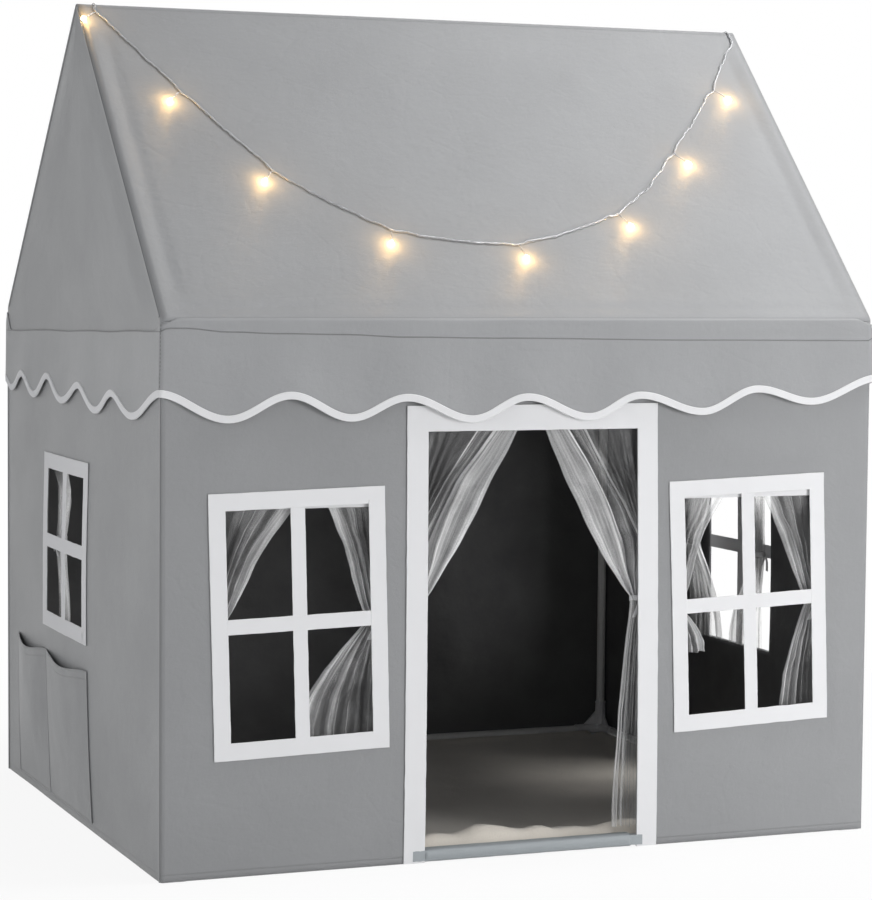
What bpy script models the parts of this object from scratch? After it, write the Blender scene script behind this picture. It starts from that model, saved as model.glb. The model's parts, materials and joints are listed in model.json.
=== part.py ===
"""Child's play tent in the shape of a small house.

A plug-together frame of plastic tubes stands in ten moulded connectors. A sewn cloth cover hangs
over it, with a doorway, four windows with curtains, a scalloped valance, a pair of pockets and a
string of lamps over the roof.

The origin is on the floor at the middle of the tent. The doorway is on the -Y side, +X is to the
right of someone who stands before it, and +Z is up. All sizes are in metres.
"""

import math

import bpy
import bmesh
from mathutils import Matrix, Vector

# Overall size, over the cloth
TENT_WIDTH = 1.200
TENT_DEPTH = 1.000
EAVE_BAR_HEIGHT = 0.838
RIDGE_HEIGHT = 1.345

# Cloth, tape and the gap between pieces that touch
CLOTH = 0.0012
TAPE = 0.0010
FIT = 0.0003
HEM_LIFT = 0.0010

# Tubes and connectors
TUBE_RADIUS = 0.008
TUBE_WALL = 0.0015
TUBE_SIDES = 12
SOCKET_WALL = 0.002
SOCKET_DEPTH = 0.030
SOCKET_COLLAR = 0.004
SOCKET_DRAFT = 0.0006
SOCKET_PARTITION = 0.0019
HUB_STEP = 0.0008
SPIGOT_LENGTH = 0.030
WEB_THICKNESS = 0.003
WEB_SHARE = 0.7
FOOT_REACH = 0.030
FOOT_THICKNESS = 0.003
FOOT_CORNER = 0.005
SOLE_GAP = 0.0012
SMOOTH_ANGLE = math.radians(40)

# Doorway, trim and the sleeve over the bottom tube
DOOR_WIDTH = 0.354
DOOR_HEIGHT = 0.670
DOOR_TRIM = 0.035
DOOR_TRIM_TOP = 0.040
SLEEVE_TAB = 0.018
SLEEVE_TAB_STEP = 0.0001
SLEEVE_CORNER = 0.003

# Windows: wall, middle along it, middle height, opening width and height
MUNTIN = 0.023
FRAME_TAPE = 0.0265
WINDOW_LAP = 0.002
FRONT_WINDOW_WIDTH = 0.227
DOOR_TO_WINDOW = 0.031
FRONT_WINDOW_X = (DOOR_WIDTH / 2 + DOOR_TRIM + DOOR_TO_WINDOW + FRAME_TAPE
                  + FRONT_WINDOW_WIDTH / 2)
WINDOWS = {
    "front_left": ("front", -FRONT_WINDOW_X, 0.3815, FRONT_WINDOW_WIDTH, 0.350),
    "front_right": ("front", FRONT_WINDOW_X, 0.3815, FRONT_WINDOW_WIDTH, 0.350),
    "left": ("left", 0.0375, 0.4545, 0.243, 0.243),
    "right": ("right", -0.0415, 0.4250, 0.227, 0.350),
}

# Valance and its scalloped edge
VALANCE_TOP = 0.834
SCALLOP_PEAK = 0.734
SCALLOP_DEPTH = 0.034
SCALLOP_PITCH = 0.200
SCALLOP_STEPS = 6
VALANCE_FLARE = 0.004
VALANCE_RIPPLE = 0.0012
BINDING_WIDTH = 0.0115
BINDING = 0.0022

# Pair of pockets on the left wall
POCKET_FRONT = -0.110
POCKET_REAR = 0.400
POCKET_SEAM = 0.170
POCKET_BOTTOM = 0.016
POCKET_MOUTH = 0.265
POCKET_DIP = 0.012
POCKET_FULLNESS = 0.014
POCKET_COLUMNS = 6
POCKET_ROWS = 5

# Curtains
TULLE = 0.0010
HEADER_HEIGHT = 0.014
HEADER_DEPTH = 0.004
HEADER_OVERHANG = 0.012
HEADER_MARGIN = 0.005
CURTAIN_STAND_OFF = 0.011
CURTAIN_FOLD = 0.0035
CURTAIN_GAP = 0.006
TIE_WIDTH = 0.024
TIE_FOLD = 0.0016
CURTAIN_DRAW = 1.15
CURTAIN_TAIL = 1.1
WINDOW_CURTAIN_DROP = 0.012
WINDOW_CURTAIN_GRID = (10, 4, 2)
WINDOW_CURTAIN_FOLDS = 2.5
DOOR_CURTAIN_TIE = 0.400
DOOR_CURTAIN_BOTTOM = 0.032
DOOR_CURTAIN_GRID = (12, 6, 4)
DOOR_CURTAIN_FOLDS = 3

# Floor mat
MAT_THICKNESS = 0.004

# Lamp string: wire, lamps, and its route as (x, run down the roof from the crest, rear positive)
WIRE_RADIUS = 0.0015
LAMP_RADIUS = 0.0034
LAMP_LENGTH = 0.009
LAMP_ROUNDING = 0.25
LAMP_TIP_RADIUS = 0.0017
LAMP_SIDES = 8
LAMP_PITCH = 0.211
LAMP_STUB = 0.027
LAMP_STUB_RADIUS = 0.0010
LAMP_LEAN = 0.25
LAMP_PULL = 0.005
LAMP_PULL_REACH = 0.022
WIRE_STEP = 0.055
WIRE_RIDGE_STEP = 0.0032
WIRE_CURVE_STEPS = 8
WIRE_ROUNDNESS = 2
WIRE_ROUTE = [
    (0.560, 0.0900), (0.560, 0.0780), (0.570, 0.0520), (0.584, 0.0240), (0.588, 0.0000),
    (0.583, -0.0400), (0.550, -0.0860), (0.519, -0.1350), (0.450, -0.2280), (0.371, -0.3210),
    (0.300, -0.4050), (0.220, -0.4680), (0.118, -0.5150), (0.018, -0.5410), (-0.080, -0.5370),
    (-0.175, -0.5150), (-0.262, -0.4620), (-0.339, -0.3950), (-0.407, -0.3010), (-0.467, -0.2020),
    (-0.525, -0.1050), (-0.566, -0.0300), (-0.573, 0.0000), (-0.574, 0.0300), (-0.571, 0.0600),
    (-0.566, 0.1200), (-0.562, 0.1863),
]

# Battery box on the rear slope of the roof
CELL_RADIUS = 0.00725
CELL_LENGTH = 0.0505
CELL_NUB_RADIUS = 0.00275
CELL_NUB = 0.0012
BOX_WALL = 0.0016
BOX_FLOOR = 0.0014
BOX_CORNER = 0.0030
CONTACT_ROOM = 0.0020
SWITCH_BAY = 0.0130
COVER_THICKNESS = 0.0014
COVER_GROOVE = 0.0009
COVER_LIP = 0.0008
GLAND_RADIUS = 0.0028
GLAND_LENGTH = 0.0060
GLAND_RUN_DOWN = 0.0200
KNOB_LENGTH = 0.0040
KNOB_WIDTH = 0.0032
KNOB_HEIGHT = 0.0016
KNOB_BASE_LENGTH = 0.0070
KNOB_BASE_WIDTH = 0.0055
KNOB_BASE = 0.0010
SWITCH_TRAVEL = 0.0030
GRIP_RIBS = 4
GRIP_RIB = 0.0014
GRIP_PITCH = 0.0028
GRIP_FROM_END = 0.0130

# Sizes that follow from the ones above
SOCKET_RADIUS = TUBE_RADIUS + FIT + SOCKET_WALL
BAR_INSET = CLOTH + FIT + SOCKET_RADIUS
HUB_HALF = SOCKET_RADIUS - HUB_STEP
HUB_EDGE = HUB_HALF - math.sqrt(SOCKET_RADIUS ** 2 - HUB_HALF ** 2)
BASE_BAR_HEIGHT = SOLE_GAP + SOCKET_RADIUS
RIDGE_BAR_HEIGHT = RIDGE_HEIGHT - BAR_INSET
HALF_WIDTH = TENT_WIDTH / 2
HALF_DEPTH = TENT_DEPTH / 2
BAR_X = HALF_WIDTH - BAR_INSET
BAR_Y = HALF_DEPTH - BAR_INSET
SLOPE = math.atan2(RIDGE_BAR_HEIGHT - EAVE_BAR_HEIGHT, BAR_Y)
HUB_REACH = (TUBE_RADIUS + FIT + SOCKET_PARTITION / 2) / math.sin(SLOPE / 2)
WALL_TOP = EAVE_BAR_HEIGHT - FIT
X = Vector((1, 0, 0))
Y = Vector((0, 1, 0))
Z = Vector((0, 0, 1))

# Each wall: the middle of its foot on the outer face, the way along it and the way in
WALLS = {
    "front": (-HALF_DEPTH * Y, X, Y),
    "back": (HALF_DEPTH * Y, X, -Y),
    "left": (-HALF_WIDTH * X, Y, X),
    "right": (HALF_WIDTH * X, Y, -X),
}


def clear_scene():
    """Remove whatever the scene holds."""
    for item in list(bpy.data.objects):
        bpy.data.objects.remove(item)


def material(name, colour, roughness, metallic=0.0):
    """Make a plain material, or return the one of that name."""
    found = bpy.data.materials.get(name)
    if found:
        return found
    made = bpy.data.materials.new(name)
    made.use_nodes = True
    shader = made.node_tree.nodes["Principled BSDF"]
    shader.inputs["Base Color"].default_value = (*colour, 1.0)
    shader.inputs["Roughness"].default_value = roughness
    shader.inputs["Metallic"].default_value = metallic
    return made


def cloth_material():
    return material("grey_cloth", (0.33, 0.36, 0.38), 0.85)


def tape_material():
    return material("white_tape", (0.82, 0.82, 0.86), 0.8)


def tulle_material():
    return material("white_tulle", (0.80, 0.80, 0.80), 0.7)


def tube_material():
    return material("white_tube", (0.80, 0.80, 0.80), 0.35)


def connector_material():
    return material("connector_plastic", (0.75, 0.75, 0.76), 0.45)


def box_material():
    return material("box_plastic", (0.85, 0.85, 0.84), 0.4)


def place(wall, along, depth, height):
    """A point on a wall: its place along the wall, its depth inwards and its height."""
    foot, sideways, inwards = WALLS[wall]
    return foot + sideways * along + inwards * depth + Z * height


def new_object(name, shape, finish, smooth=True):
    """Put a bmesh into the scene as a named object."""
    bmesh.ops.recalc_face_normals(shape, faces=shape.faces)
    mesh = bpy.data.meshes.new(name)
    shape.to_mesh(mesh)
    shape.free()
    if smooth:
        mesh.shade_smooth()
        mesh.set_sharp_from_angle(angle=SMOOTH_ANGLE)
    mesh.materials.append(finish)
    made = bpy.data.objects.new(name, mesh)
    bpy.context.scene.collection.objects.link(made)
    return made


def helper(shape):
    """A shape that is only joined to another, or cut out of it."""
    made = new_object("helper", shape, material("helper", (1, 0, 0), 1), smooth=False)
    made.hide_render = True
    made.display_type = "WIRE"
    return made


def combine(piece, additions=(), cuts=()):
    """Join helpers to a piece and cut others out of it, and keep the result as its mesh."""
    for items, operation in ((additions, "UNION"), (cuts, "DIFFERENCE")):
        for item in items:
            step = piece.modifiers.new("step", "BOOLEAN")
            step.operation = operation
            step.solver = "EXACT"
            step.object = item
    seen = piece.evaluated_get(bpy.context.evaluated_depsgraph_get())
    mesh = bpy.data.meshes.new_from_object(seen)
    mesh.name = piece.name
    mesh.shade_smooth()
    mesh.set_sharp_from_angle(angle=SMOOTH_ANGLE)
    piece.modifiers.clear()
    piece.data = mesh
    for item in (*additions, *cuts):
        bpy.data.objects.remove(item)
    return piece


def ring(shape, centre, axis, radius, sides=TUBE_SIDES):
    """A ring of points. Opposite axes give the same polygon, so tubes line up with sockets."""
    across = axis.cross(Z if abs(axis.z) < 0.9 else Y).normalized()
    upright = across.cross(axis)
    turns = [2 * math.pi * step / sides for step in range(sides)]
    return [shape.verts.new(centre + radius * (across * math.cos(a) + upright * math.sin(a)))
            for a in turns]


def bridge(shape, one, two):
    """Join two rings of as many points with a band of faces."""
    for step in range(len(one)):
        after = (step + 1) % len(one)
        shape.faces.new((one[step], one[after], two[after], two[step]))


def turned(start, axis, profile, closed=False, sides=TUBE_SIDES):
    """A turned shape from (distance along the axis, radius) pairs; a closed profile is hollow."""
    shape = bmesh.new()
    rings = [ring(shape, start + axis * along, axis, radius, sides) for along, radius in profile]
    for one, two in zip(rings, rings[1:]):
        bridge(shape, one, two)
    if closed:
        bridge(shape, rings[-1], rings[0])
    else:
        shape.faces.new(rings[0])
        shape.faces.new(rings[-1])
    return shape


def extruded(outline, start, end):
    """A prism from an outline of points at `start`, moved by the vector `end`."""
    shape = bmesh.new()
    low = [shape.verts.new(start + point) for point in outline]
    high = [shape.verts.new(start + point + end) for point in outline]
    shape.faces.new(low)
    shape.faces.new(high)
    bridge(shape, low, high)
    return shape


def rounded_outline(across, up, width, height, radius, steps=3):
    """A rectangle with round corners about the origin, in the plane of two directions."""
    points = []
    for corner in range(4):
        side = 1 if corner in (0, 3) else -1
        rise = 1 if corner in (0, 1) else -1
        for step in range(steps + 1):
            turn = math.pi / 2 * (corner + step / steps)
            points.append(across * (side * (width / 2 - radius) + radius * math.cos(turn))
                          + up * (rise * (height / 2 - radius) + radius * math.sin(turn)))
    return points


def block(low, high):
    """A plain box between two corners."""
    shape = bmesh.new()
    bmesh.ops.create_cube(shape, size=1)
    middle = (Vector(low) + Vector(high)) / 2
    size = Vector(high) - Vector(low)
    for vert in shape.verts:
        vert.co = Vector(a * b for a, b in zip(vert.co, size)) + middle
    return shape


def flat_panel(wall, along_cuts, height_cuts, is_open, depths, crown=()):
    """A flat sheet on a wall, cut along a grid, with the cells that `is_open` names left out.

    A crown is a row of (along, height) points over the top row, with the peak in its middle.
    """
    shape = bmesh.new()
    near, far = depths
    points = {}

    def point(i, j, depth):
        if (i, j, depth) not in points:
            points[i, j, depth] = shape.verts.new(
                place(wall, along_cuts[i], depth, height_cuts[j]))
        return points[i, j, depth]

    columns = len(along_cuts) - 1
    rows = len(height_cuts) - 1

    def kept(i, j):
        if not (0 <= i < columns and 0 <= j < rows):
            return False
        middle = (along_cuts[i] + along_cuts[i + 1]) / 2, (height_cuts[j] + height_cuts[j + 1]) / 2
        return not is_open(*middle)

    for i in range(columns):
        for j in range(rows):
            if not kept(i, j):
                continue
            corners = [(i, j), (i + 1, j), (i + 1, j + 1), (i, j + 1)]
            for depth in (near, far):
                shape.faces.new([point(a, b, depth) for a, b in corners])
            beyond = [(i, j - 1), (i + 1, j), (i, j + 1), (i - 1, j)]
            for side, (a, b) in enumerate(beyond):
                if kept(a, b) or (crown and side == 2 and j == rows - 1):
                    continue
                one, two = corners[side], corners[(side + 1) % 4]
                shape.faces.new((point(*one, near), point(*two, near),
                                 point(*two, far), point(*one, far)))
    if crown:
        edges = []
        for depth in (near, far):
            over = [shape.verts.new(place(wall, a, depth, h)) for a, h in crown]
            top = [point(i, rows, depth) for i in range(columns, -1, -1)]
            edge = [top[-1]] + over + [top[0]]
            edges.append(edge)
            peak = len(over) // 2
            around = over[peak + 1:] + top + over[:peak]
            for one, two in zip(around, around[1:]):
                shape.faces.new((over[peak], one, two))
        for step in range(len(edges[0]) - 1):
            shape.faces.new((edges[0][step], edges[0][step + 1],
                             edges[1][step + 1], edges[1][step]))
    return shape


def soft_sheet(rows, thickness, closed=False):
    """A curved sheet through rows of points, thickened to both sides into a closed solid."""
    shape = bmesh.new()
    grid = [[shape.verts.new(point) for point in row] for row in rows]
    for one, two in zip(grid, grid[1:]):
        last = len(one) if closed else len(one) - 1
        for step in range(last):
            after = (step + 1) % len(one)
            shape.faces.new((one[step], one[after], two[after], two[step]))
    bmesh.ops.recalc_face_normals(shape, faces=shape.faces)
    shape.normal_update()
    pushed = {}
    for vert in shape.verts:
        pushed[vert] = vert.normal * vert.calc_shell_factor() * thickness / 2
    back = {vert: shape.verts.new(vert.co - push) for vert, push in pushed.items()}
    edges = [edge for edge in shape.edges if edge.is_boundary]
    faces = list(shape.faces)
    for edge in edges:
        one, two = edge.verts
        shape.faces.new((one, two, back[two], back[one]))
    for face in faces:
        shape.faces.new([back[vert] for vert in reversed(face.verts)])
    for vert, push in pushed.items():
        vert.co += push
    return shape


def connector(name, centre, directions, webs, foot=False):
    """A moulded connector: a hub, one collared socket a direction, and webs between pairs."""
    reach = HUB_REACH + SOCKET_DEPTH
    profile = [(0, SOCKET_RADIUS), (HUB_REACH, SOCKET_RADIUS),
               (reach - SOCKET_COLLAR - SOCKET_DRAFT, SOCKET_RADIUS - SOCKET_DRAFT),
               (reach - SOCKET_COLLAR, SOCKET_RADIUS), (reach - FIT, SOCKET_RADIUS)]
    hub = bmesh.new()
    bmesh.ops.create_cube(hub, size=2 * HUB_HALF)
    bmesh.ops.bevel(hub, geom=hub.edges, offset=HUB_EDGE, segments=1, affect="EDGES")
    bmesh.ops.translate(hub, verts=hub.verts, vec=centre)
    piece = new_object(name, hub, connector_material())
    additions = []
    cuts = []
    for way in directions:
        additions.append(helper(turned(centre + way * FIT, way, profile)))
        bore = turned(centre + way * HUB_REACH, way,
                      [(0, TUBE_RADIUS + FIT), (SOCKET_DEPTH + FIT, TUBE_RADIUS + FIT)])
        cuts.append(helper(bore))
    for one, two in webs:
        across = one.cross(two).normalized() * WEB_THICKNESS
        leg = HUB_REACH + SOCKET_DEPTH * WEB_SHARE
        outline = [Vector((0, 0, 0)), one * leg, two * leg]
        additions.append(helper(extruded(outline, centre - across / 2, across)))
    if foot:
        inwards = sum((way for way in directions if abs(way.z) < 0.5), Vector())
        size = SOCKET_RADIUS + FOOT_REACH
        middle = centre + inwards * (FOOT_REACH - SOCKET_RADIUS) / 2
        middle.z = 0
        outline = rounded_outline(X, Y, size, size, FOOT_CORNER)
        additions.append(helper(extruded(outline, middle, Z * FOOT_THICKNESS)))
    return combine(piece, additions, cuts)


def make_connectors():
    """Four base corners, four eave corners and the two ends of the ridge."""
    for front, depth in (("front", -1), ("back", 1)):
        for side, width in (("left", -1), ("right", 1)):
            in_x = -width * X
            in_y = -depth * Y
            rafter = in_y * math.cos(SLOPE) + Z * math.sin(SLOPE)
            base = Vector((width * BAR_X, depth * BAR_Y, BASE_BAR_HEIGHT))
            eave = Vector((width * BAR_X, depth * BAR_Y, EAVE_BAR_HEIGHT))
            connector(f"base_connector_{front}_{side}", base, [in_x, in_y, Z],
                      [(in_x, Z), (in_y, Z)], foot=True)
            connector(f"eave_connector_{front}_{side}", eave, [in_x, in_y, -Z, rafter],
                      [(in_x, -Z), (in_y, -Z)])
    for side, width in (("left", -1), ("right", 1)):
        centre = Vector((width * BAR_X, 0, RIDGE_BAR_HEIGHT))
        forward = -Y * math.cos(SLOPE) - Z * math.sin(SLOPE)
        rearward = Y * math.cos(SLOPE) - Z * math.sin(SLOPE)
        connector(f"ridge_connector_{side}", centre, [-width * X, forward, rearward], [])


def tube(name, start, end, spigot=0.0):
    """A tube between two points; a spigot is a narrowed end that reaches past the second."""
    axis = (end - start).normalized()
    length = (end - start).length
    bore = TUBE_RADIUS - TUBE_WALL
    profile = [(0, bore), (0, TUBE_RADIUS), (length, TUBE_RADIUS)]
    if spigot:
        narrow = bore - FIT
        profile += [(length, narrow), (length + spigot, narrow)]
        profile += [(length + spigot, narrow - TUBE_WALL), (length, narrow - TUBE_WALL)]
        profile += [(length - TUBE_RADIUS, bore)]
    else:
        profile += [(length, bore)]
    return new_object(name, turned(start, axis, profile, closed=True), tube_material())


def long_bar(name, start, end):
    """A long bar in two tubes, the left one plugged into the right one at the middle."""
    axis = (end - start).normalized()
    middle = (start + end) / 2
    inset = axis * (HUB_REACH + FIT)
    tube(f"{name}_left", start + inset, middle - axis * FIT / 2, spigot=SPIGOT_LENGTH)
    tube(f"{name}_right", end - inset, middle + axis * FIT / 2)


def short_bar(name, start, end):
    """A bar in one tube between two connectors."""
    inset = (end - start).normalized() * (HUB_REACH + FIT)
    tube(name, start + inset, end - inset)


def make_tubes():
    """Base and eave rings, four posts, four rafters and the ridge."""
    for level, height in (("base", BASE_BAR_HEIGHT), ("eave", EAVE_BAR_HEIGHT)):
        for face, depth in (("front", -1), ("back", 1)):
            long_bar(f"{level}_tube_{face}", Vector((-BAR_X, depth * BAR_Y, height)),
                     Vector((BAR_X, depth * BAR_Y, height)))
        for side, width in (("left", -1), ("right", 1)):
            short_bar(f"{level}_tube_{side}", Vector((width * BAR_X, -BAR_Y, height)),
                      Vector((width * BAR_X, BAR_Y, height)))
    for face, depth in (("front", -1), ("back", 1)):
        for side, width in (("left", -1), ("right", 1)):
            corner = Vector((width * BAR_X, depth * BAR_Y, 0))
            short_bar(f"post_{face}_{side}", corner + Z * BASE_BAR_HEIGHT,
                      corner + Z * EAVE_BAR_HEIGHT)
            short_bar(f"rafter_{face}_{side}", corner + Z * EAVE_BAR_HEIGHT,
                      Vector((width * BAR_X, 0, RIDGE_BAR_HEIGHT)))
    long_bar("ridge_tube", Vector((-BAR_X, 0, RIDGE_BAR_HEIGHT)),
             Vector((BAR_X, 0, RIDGE_BAR_HEIGHT)))


def roof_line(inset, eave_steps=3, ridge_steps=3):
    """Front half of the roof's line as (y, z), from the eave up to the crest, `inset` under it."""
    radius = BAR_INSET - inset
    points = []
    for step in range(eave_steps + 1):
        turn = (math.pi / 2 - SLOPE) * step / eave_steps
        points.append((-BAR_Y - radius * math.cos(turn), EAVE_BAR_HEIGHT + radius * math.sin(turn)))
    for step in range(ridge_steps + 1):
        turn = SLOPE * (1 - step / ridge_steps)
        points.append((-radius * math.sin(turn), RIDGE_BAR_HEIGHT + radius * math.cos(turn)))
    return points


def window_cuts(wall):
    """The openings that the windows of a wall need in its cloth."""
    found = []
    for on_wall, along, height, width, tall in WINDOWS.values():
        if on_wall == wall:
            half = width / 2 + WINDOW_LAP
            rise = tall / 2 + WINDOW_LAP
            found.append((along - half, along + half, height - rise, height + rise))
    return found


def in_any(openings):
    """A test of whether a place along and up a wall lies in one of its openings."""
    def test(along, height):
        return any(a < along < b and c < height < d for a, b, c, d in openings)
    return test


def make_walls():
    """The four cloth walls; the side walls run up to the ridge as gables."""
    doorway = (-DOOR_WIDTH / 2, DOOR_WIDTH / 2, 0, DOOR_HEIGHT)
    for wall in ("front", "back"):
        openings = window_cuts(wall)
        if wall == "front":
            openings.append(doorway)
        along = {-HALF_WIDTH, HALF_WIDTH}
        heights = {HEM_LIFT, WALL_TOP}
        for left, right, low, high in openings:
            along |= {left, right}
            heights |= {max(low, HEM_LIFT), high}
        panel = flat_panel(wall, sorted(along), sorted(heights), in_any(openings), (0, CLOTH))
        new_object(f"{wall}_wall", panel, cloth_material(), smooth=False)
    edge = CLOTH + FIT
    front_line = roof_line(edge)
    crown = front_line[1:] + [(-y, z) for y, z in reversed(front_line[1:-1])]
    for wall in ("left", "right"):
        openings = window_cuts(wall)
        along = {edge - HALF_DEPTH, HALF_DEPTH - edge}
        heights = {HEM_LIFT, EAVE_BAR_HEIGHT}
        for left, right, low, high in openings:
            along |= {left, right}
            heights |= {low, high}
        panel = flat_panel(wall, sorted(along), sorted(heights), in_any(openings), (0, CLOTH),
                           crown)
        new_object(f"{wall}_wall", panel, cloth_material(), smooth=False)


def make_roof():
    """The two slopes of the roof, rounded over the eave bars and the ridge bar."""
    outer = roof_line(0)
    inner = roof_line(CLOTH)
    for name, side in (("roof_front", 1), ("roof_rear", -1)):
        outline = [Vector((0, side * y, z)) for y, z in outer + inner[::-1]]
        for point in (outline[len(outer) - 1], outline[len(outer)]):
            point.y -= side * FIT / 2
        shape = extruded(outline, -HALF_WIDTH * X, TENT_WIDTH * X)
        new_object(name, shape, cloth_material())


def scallop(distance):
    """How far the valance's edge dips below its peaks, at a distance along a wall."""
    return SCALLOP_DEPTH * (1 - math.cos(2 * math.pi * distance / SCALLOP_PITCH)) / 2


def valance_columns():
    """Around the tent: the wall, the place along it and the distance from its first corner."""
    columns = []
    for wall, half, sign in (("front", HALF_WIDTH, 1), ("right", HALF_DEPTH, 1),
                             ("back", HALF_WIDTH, -1), ("left", HALF_DEPTH, -1)):
        waves = round(2 * half / SCALLOP_PITCH)
        count = waves * SCALLOP_STEPS
        for step in range(count):
            columns.append((wall, sign * half * (2 * step / count - 1), half, step / count * waves))
    return columns


def valance_row(heights, stands):
    """One closed row of points around the tent."""
    row = []
    for wall, along, half, wave in valance_columns():
        stand = stands(wave)
        row.append(place(wall, along * (half + stand) / half, -stand, heights(wave)))
    return row


def make_valance():
    """The valance all round under the eaves, and the white binding along its scallops."""
    def edge(wave):
        return SCALLOP_PEAK - scallop(wave * SCALLOP_PITCH)

    def stand(drop):
        lean = VALANCE_FLARE * drop
        ripple = VALANCE_RIPPLE * drop
        return lambda wave: (FIT + CLOTH / 2 + lean + ripple * math.cos(2 * math.pi * wave))

    rows = [valance_row(lambda wave: VALANCE_TOP, stand(0)),
            valance_row(edge, stand(1))]
    new_object("valance", soft_sheet(rows, CLOTH, closed=True), cloth_material())
    tape = [valance_row(lambda wave: edge(wave) - FIT, stand(1)),
            valance_row(lambda wave: edge(wave) - FIT - BINDING_WIDTH, stand(1))]
    new_object("scallop_binding", soft_sheet(tape, BINDING, closed=True), tape_material())


def make_door_trim():
    """White tape down both sides of the doorway and across its head."""
    inner = DOOR_WIDTH / 2
    outer = inner + DOOR_TRIM
    panel = flat_panel("front", [-outer, -inner, inner, outer],
                       [HEM_LIFT, DOOR_HEIGHT, DOOR_HEIGHT + DOOR_TRIM_TOP],
                       in_any([(-inner, inner, 0, DOOR_HEIGHT)]), (-FIT - TAPE, -FIT))
    new_object("door_trim", panel, tape_material(), smooth=False)


def make_window_frames():
    """A frame of white tape round each window, with a cross of glazing bars."""
    for name, (wall, along, height, width, tall) in WINDOWS.items():
        bar = MUNTIN / 2
        edges = [width / 2 + FRAME_TAPE, width / 2, bar]
        rises = [tall / 2 + FRAME_TAPE, tall / 2, bar]
        columns = [along - e for e in edges] + [along + e for e in reversed(edges)]
        rows = [height - r for r in rises] + [height + r for r in reversed(rises)]

        def pane(a, h):
            return bar < abs(a - along) < width / 2 and bar < abs(h - height) < tall / 2

        panel = flat_panel(wall, columns, rows, pane, (-FIT - TAPE, -FIT))
        new_object(f"window_frame_{name}", panel, tape_material(), smooth=False)


def make_sill_sleeve():
    """The cloth sleeve round the bottom tube in the doorway, with a tab over each trim."""
    front = -HALF_DEPTH - FIT - TAPE - FIT - CLOTH
    rear = -BAR_Y + TUBE_RADIUS + FIT + CLOTH
    width = rear - front
    height = 2 * (TUBE_RADIUS + FIT + CLOTH)
    middle = Vector((0, (front + rear) / 2, BASE_BAR_HEIGHT))
    half = DOOR_WIDTH / 2 - FIT
    outline = rounded_outline(Y, Z, width, height, SLEEVE_CORNER)
    body = extruded(outline, middle - X * half, X * 2 * half)
    piece = new_object("sill_sleeve", body, material("sleeve_cloth", (0.27, 0.33, 0.38), 0.85))
    bore = rounded_outline(Y, Z, width - 2 * CLOTH, height - 2 * CLOTH, SLEEVE_CORNER - CLOTH)
    inside = helper(extruded(bore, middle - X * HALF_WIDTH, X * TENT_WIDTH))
    tabs = []
    low = BASE_BAR_HEIGHT - height / 2 + SLEEVE_CORNER
    high = BASE_BAR_HEIGHT + height / 2 - SLEEVE_CORNER
    for side in (-1, 1):
        ends = sorted((side * (half - SLEEVE_CORNER), side * (half + SLEEVE_TAB)))
        tabs.append(helper(block((ends[0], front + SLEEVE_TAB_STEP, low),
                                 (ends[1], front + CLOTH - SLEEVE_TAB_STEP, high))))
    combine(piece, tabs, [inside])


def make_pockets():
    """Two patch pockets side by side on the left wall, sewn at the sides, seam and bottom."""
    columns = []
    for start, end in ((POCKET_FRONT, POCKET_SEAM), (POCKET_SEAM, POCKET_REAR)):
        columns += [(start + (end - start) * step / POCKET_COLUMNS, step / POCKET_COLUMNS)
                    for step in range(POCKET_COLUMNS)]
    columns.append((POCKET_REAR, 1.0))
    rows = []
    for row in range(POCKET_ROWS + 1):
        rise = row / POCKET_ROWS
        points = []
        for along, part in columns:
            belly = math.sin(math.pi * part)
            top = POCKET_MOUTH - POCKET_DIP * belly * belly
            depth = FIT + CLOTH / 2 + POCKET_FULLNESS * belly * math.sin(math.pi / 2 * rise)
            points.append(place("left", along, -depth, POCKET_BOTTOM + (top - POCKET_BOTTOM) * rise))
        rows.append(points)
    new_object("wall_pockets", soft_sheet(rows, CLOTH), cloth_material())


def curtain_sheet(wall, outer, inner, top, tie, bottom, grid, folds):
    """One curtain: drawn aside to a tie at its outer edge, with its tail hanging below.

    `outer` and `inner` are where its top edge ends along the wall, on the tie's side first.
    `grid` is its count of columns, of rows above the tie and of rows below it.
    """
    columns, rows_above, rows_below = grid
    toward = 1 if inner > outer else -1
    head = abs(inner - outer)
    rows = []
    total = rows_above + rows_below
    for row in range(total + 1):
        if row <= rows_above:
            part = row / rows_above
            height = top + (tie - top) * part
            width = TIE_WIDTH + (head - TIE_WIDTH) * (1 - part) ** CURTAIN_DRAW
        else:
            part = (row - rows_above) / rows_below
            height = tie + (bottom - tie) * part
            width = TIE_WIDTH * (1 + CURTAIN_TAIL * math.sin(math.pi / 2 * part))
        fold = TIE_FOLD if row in (rows_above, total) else CURTAIN_FOLD
        depth = CLOTH + FIT + CURTAIN_STAND_OFF
        if row == 0:
            fold = TULLE / 2
            depth = CLOTH + FIT + HEADER_DEPTH / 2
        rows.append([place(wall, outer + toward * width * step / columns,
                           depth + fold * math.sin(2 * math.pi * folds * step / columns), height)
                     for step in range(columns + 1)])
    return soft_sheet(rows, TULLE)


def curtain_header(wall, left, right, top):
    """The sewn band that carries curtains, against the inner face of a wall."""
    near = CLOTH + FIT
    one = place(wall, left, near, top - HEADER_HEIGHT)
    two = place(wall, right, near + HEADER_DEPTH, top)
    return block([min(pair) for pair in zip(one, two)], [max(pair) for pair in zip(one, two)])


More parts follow.
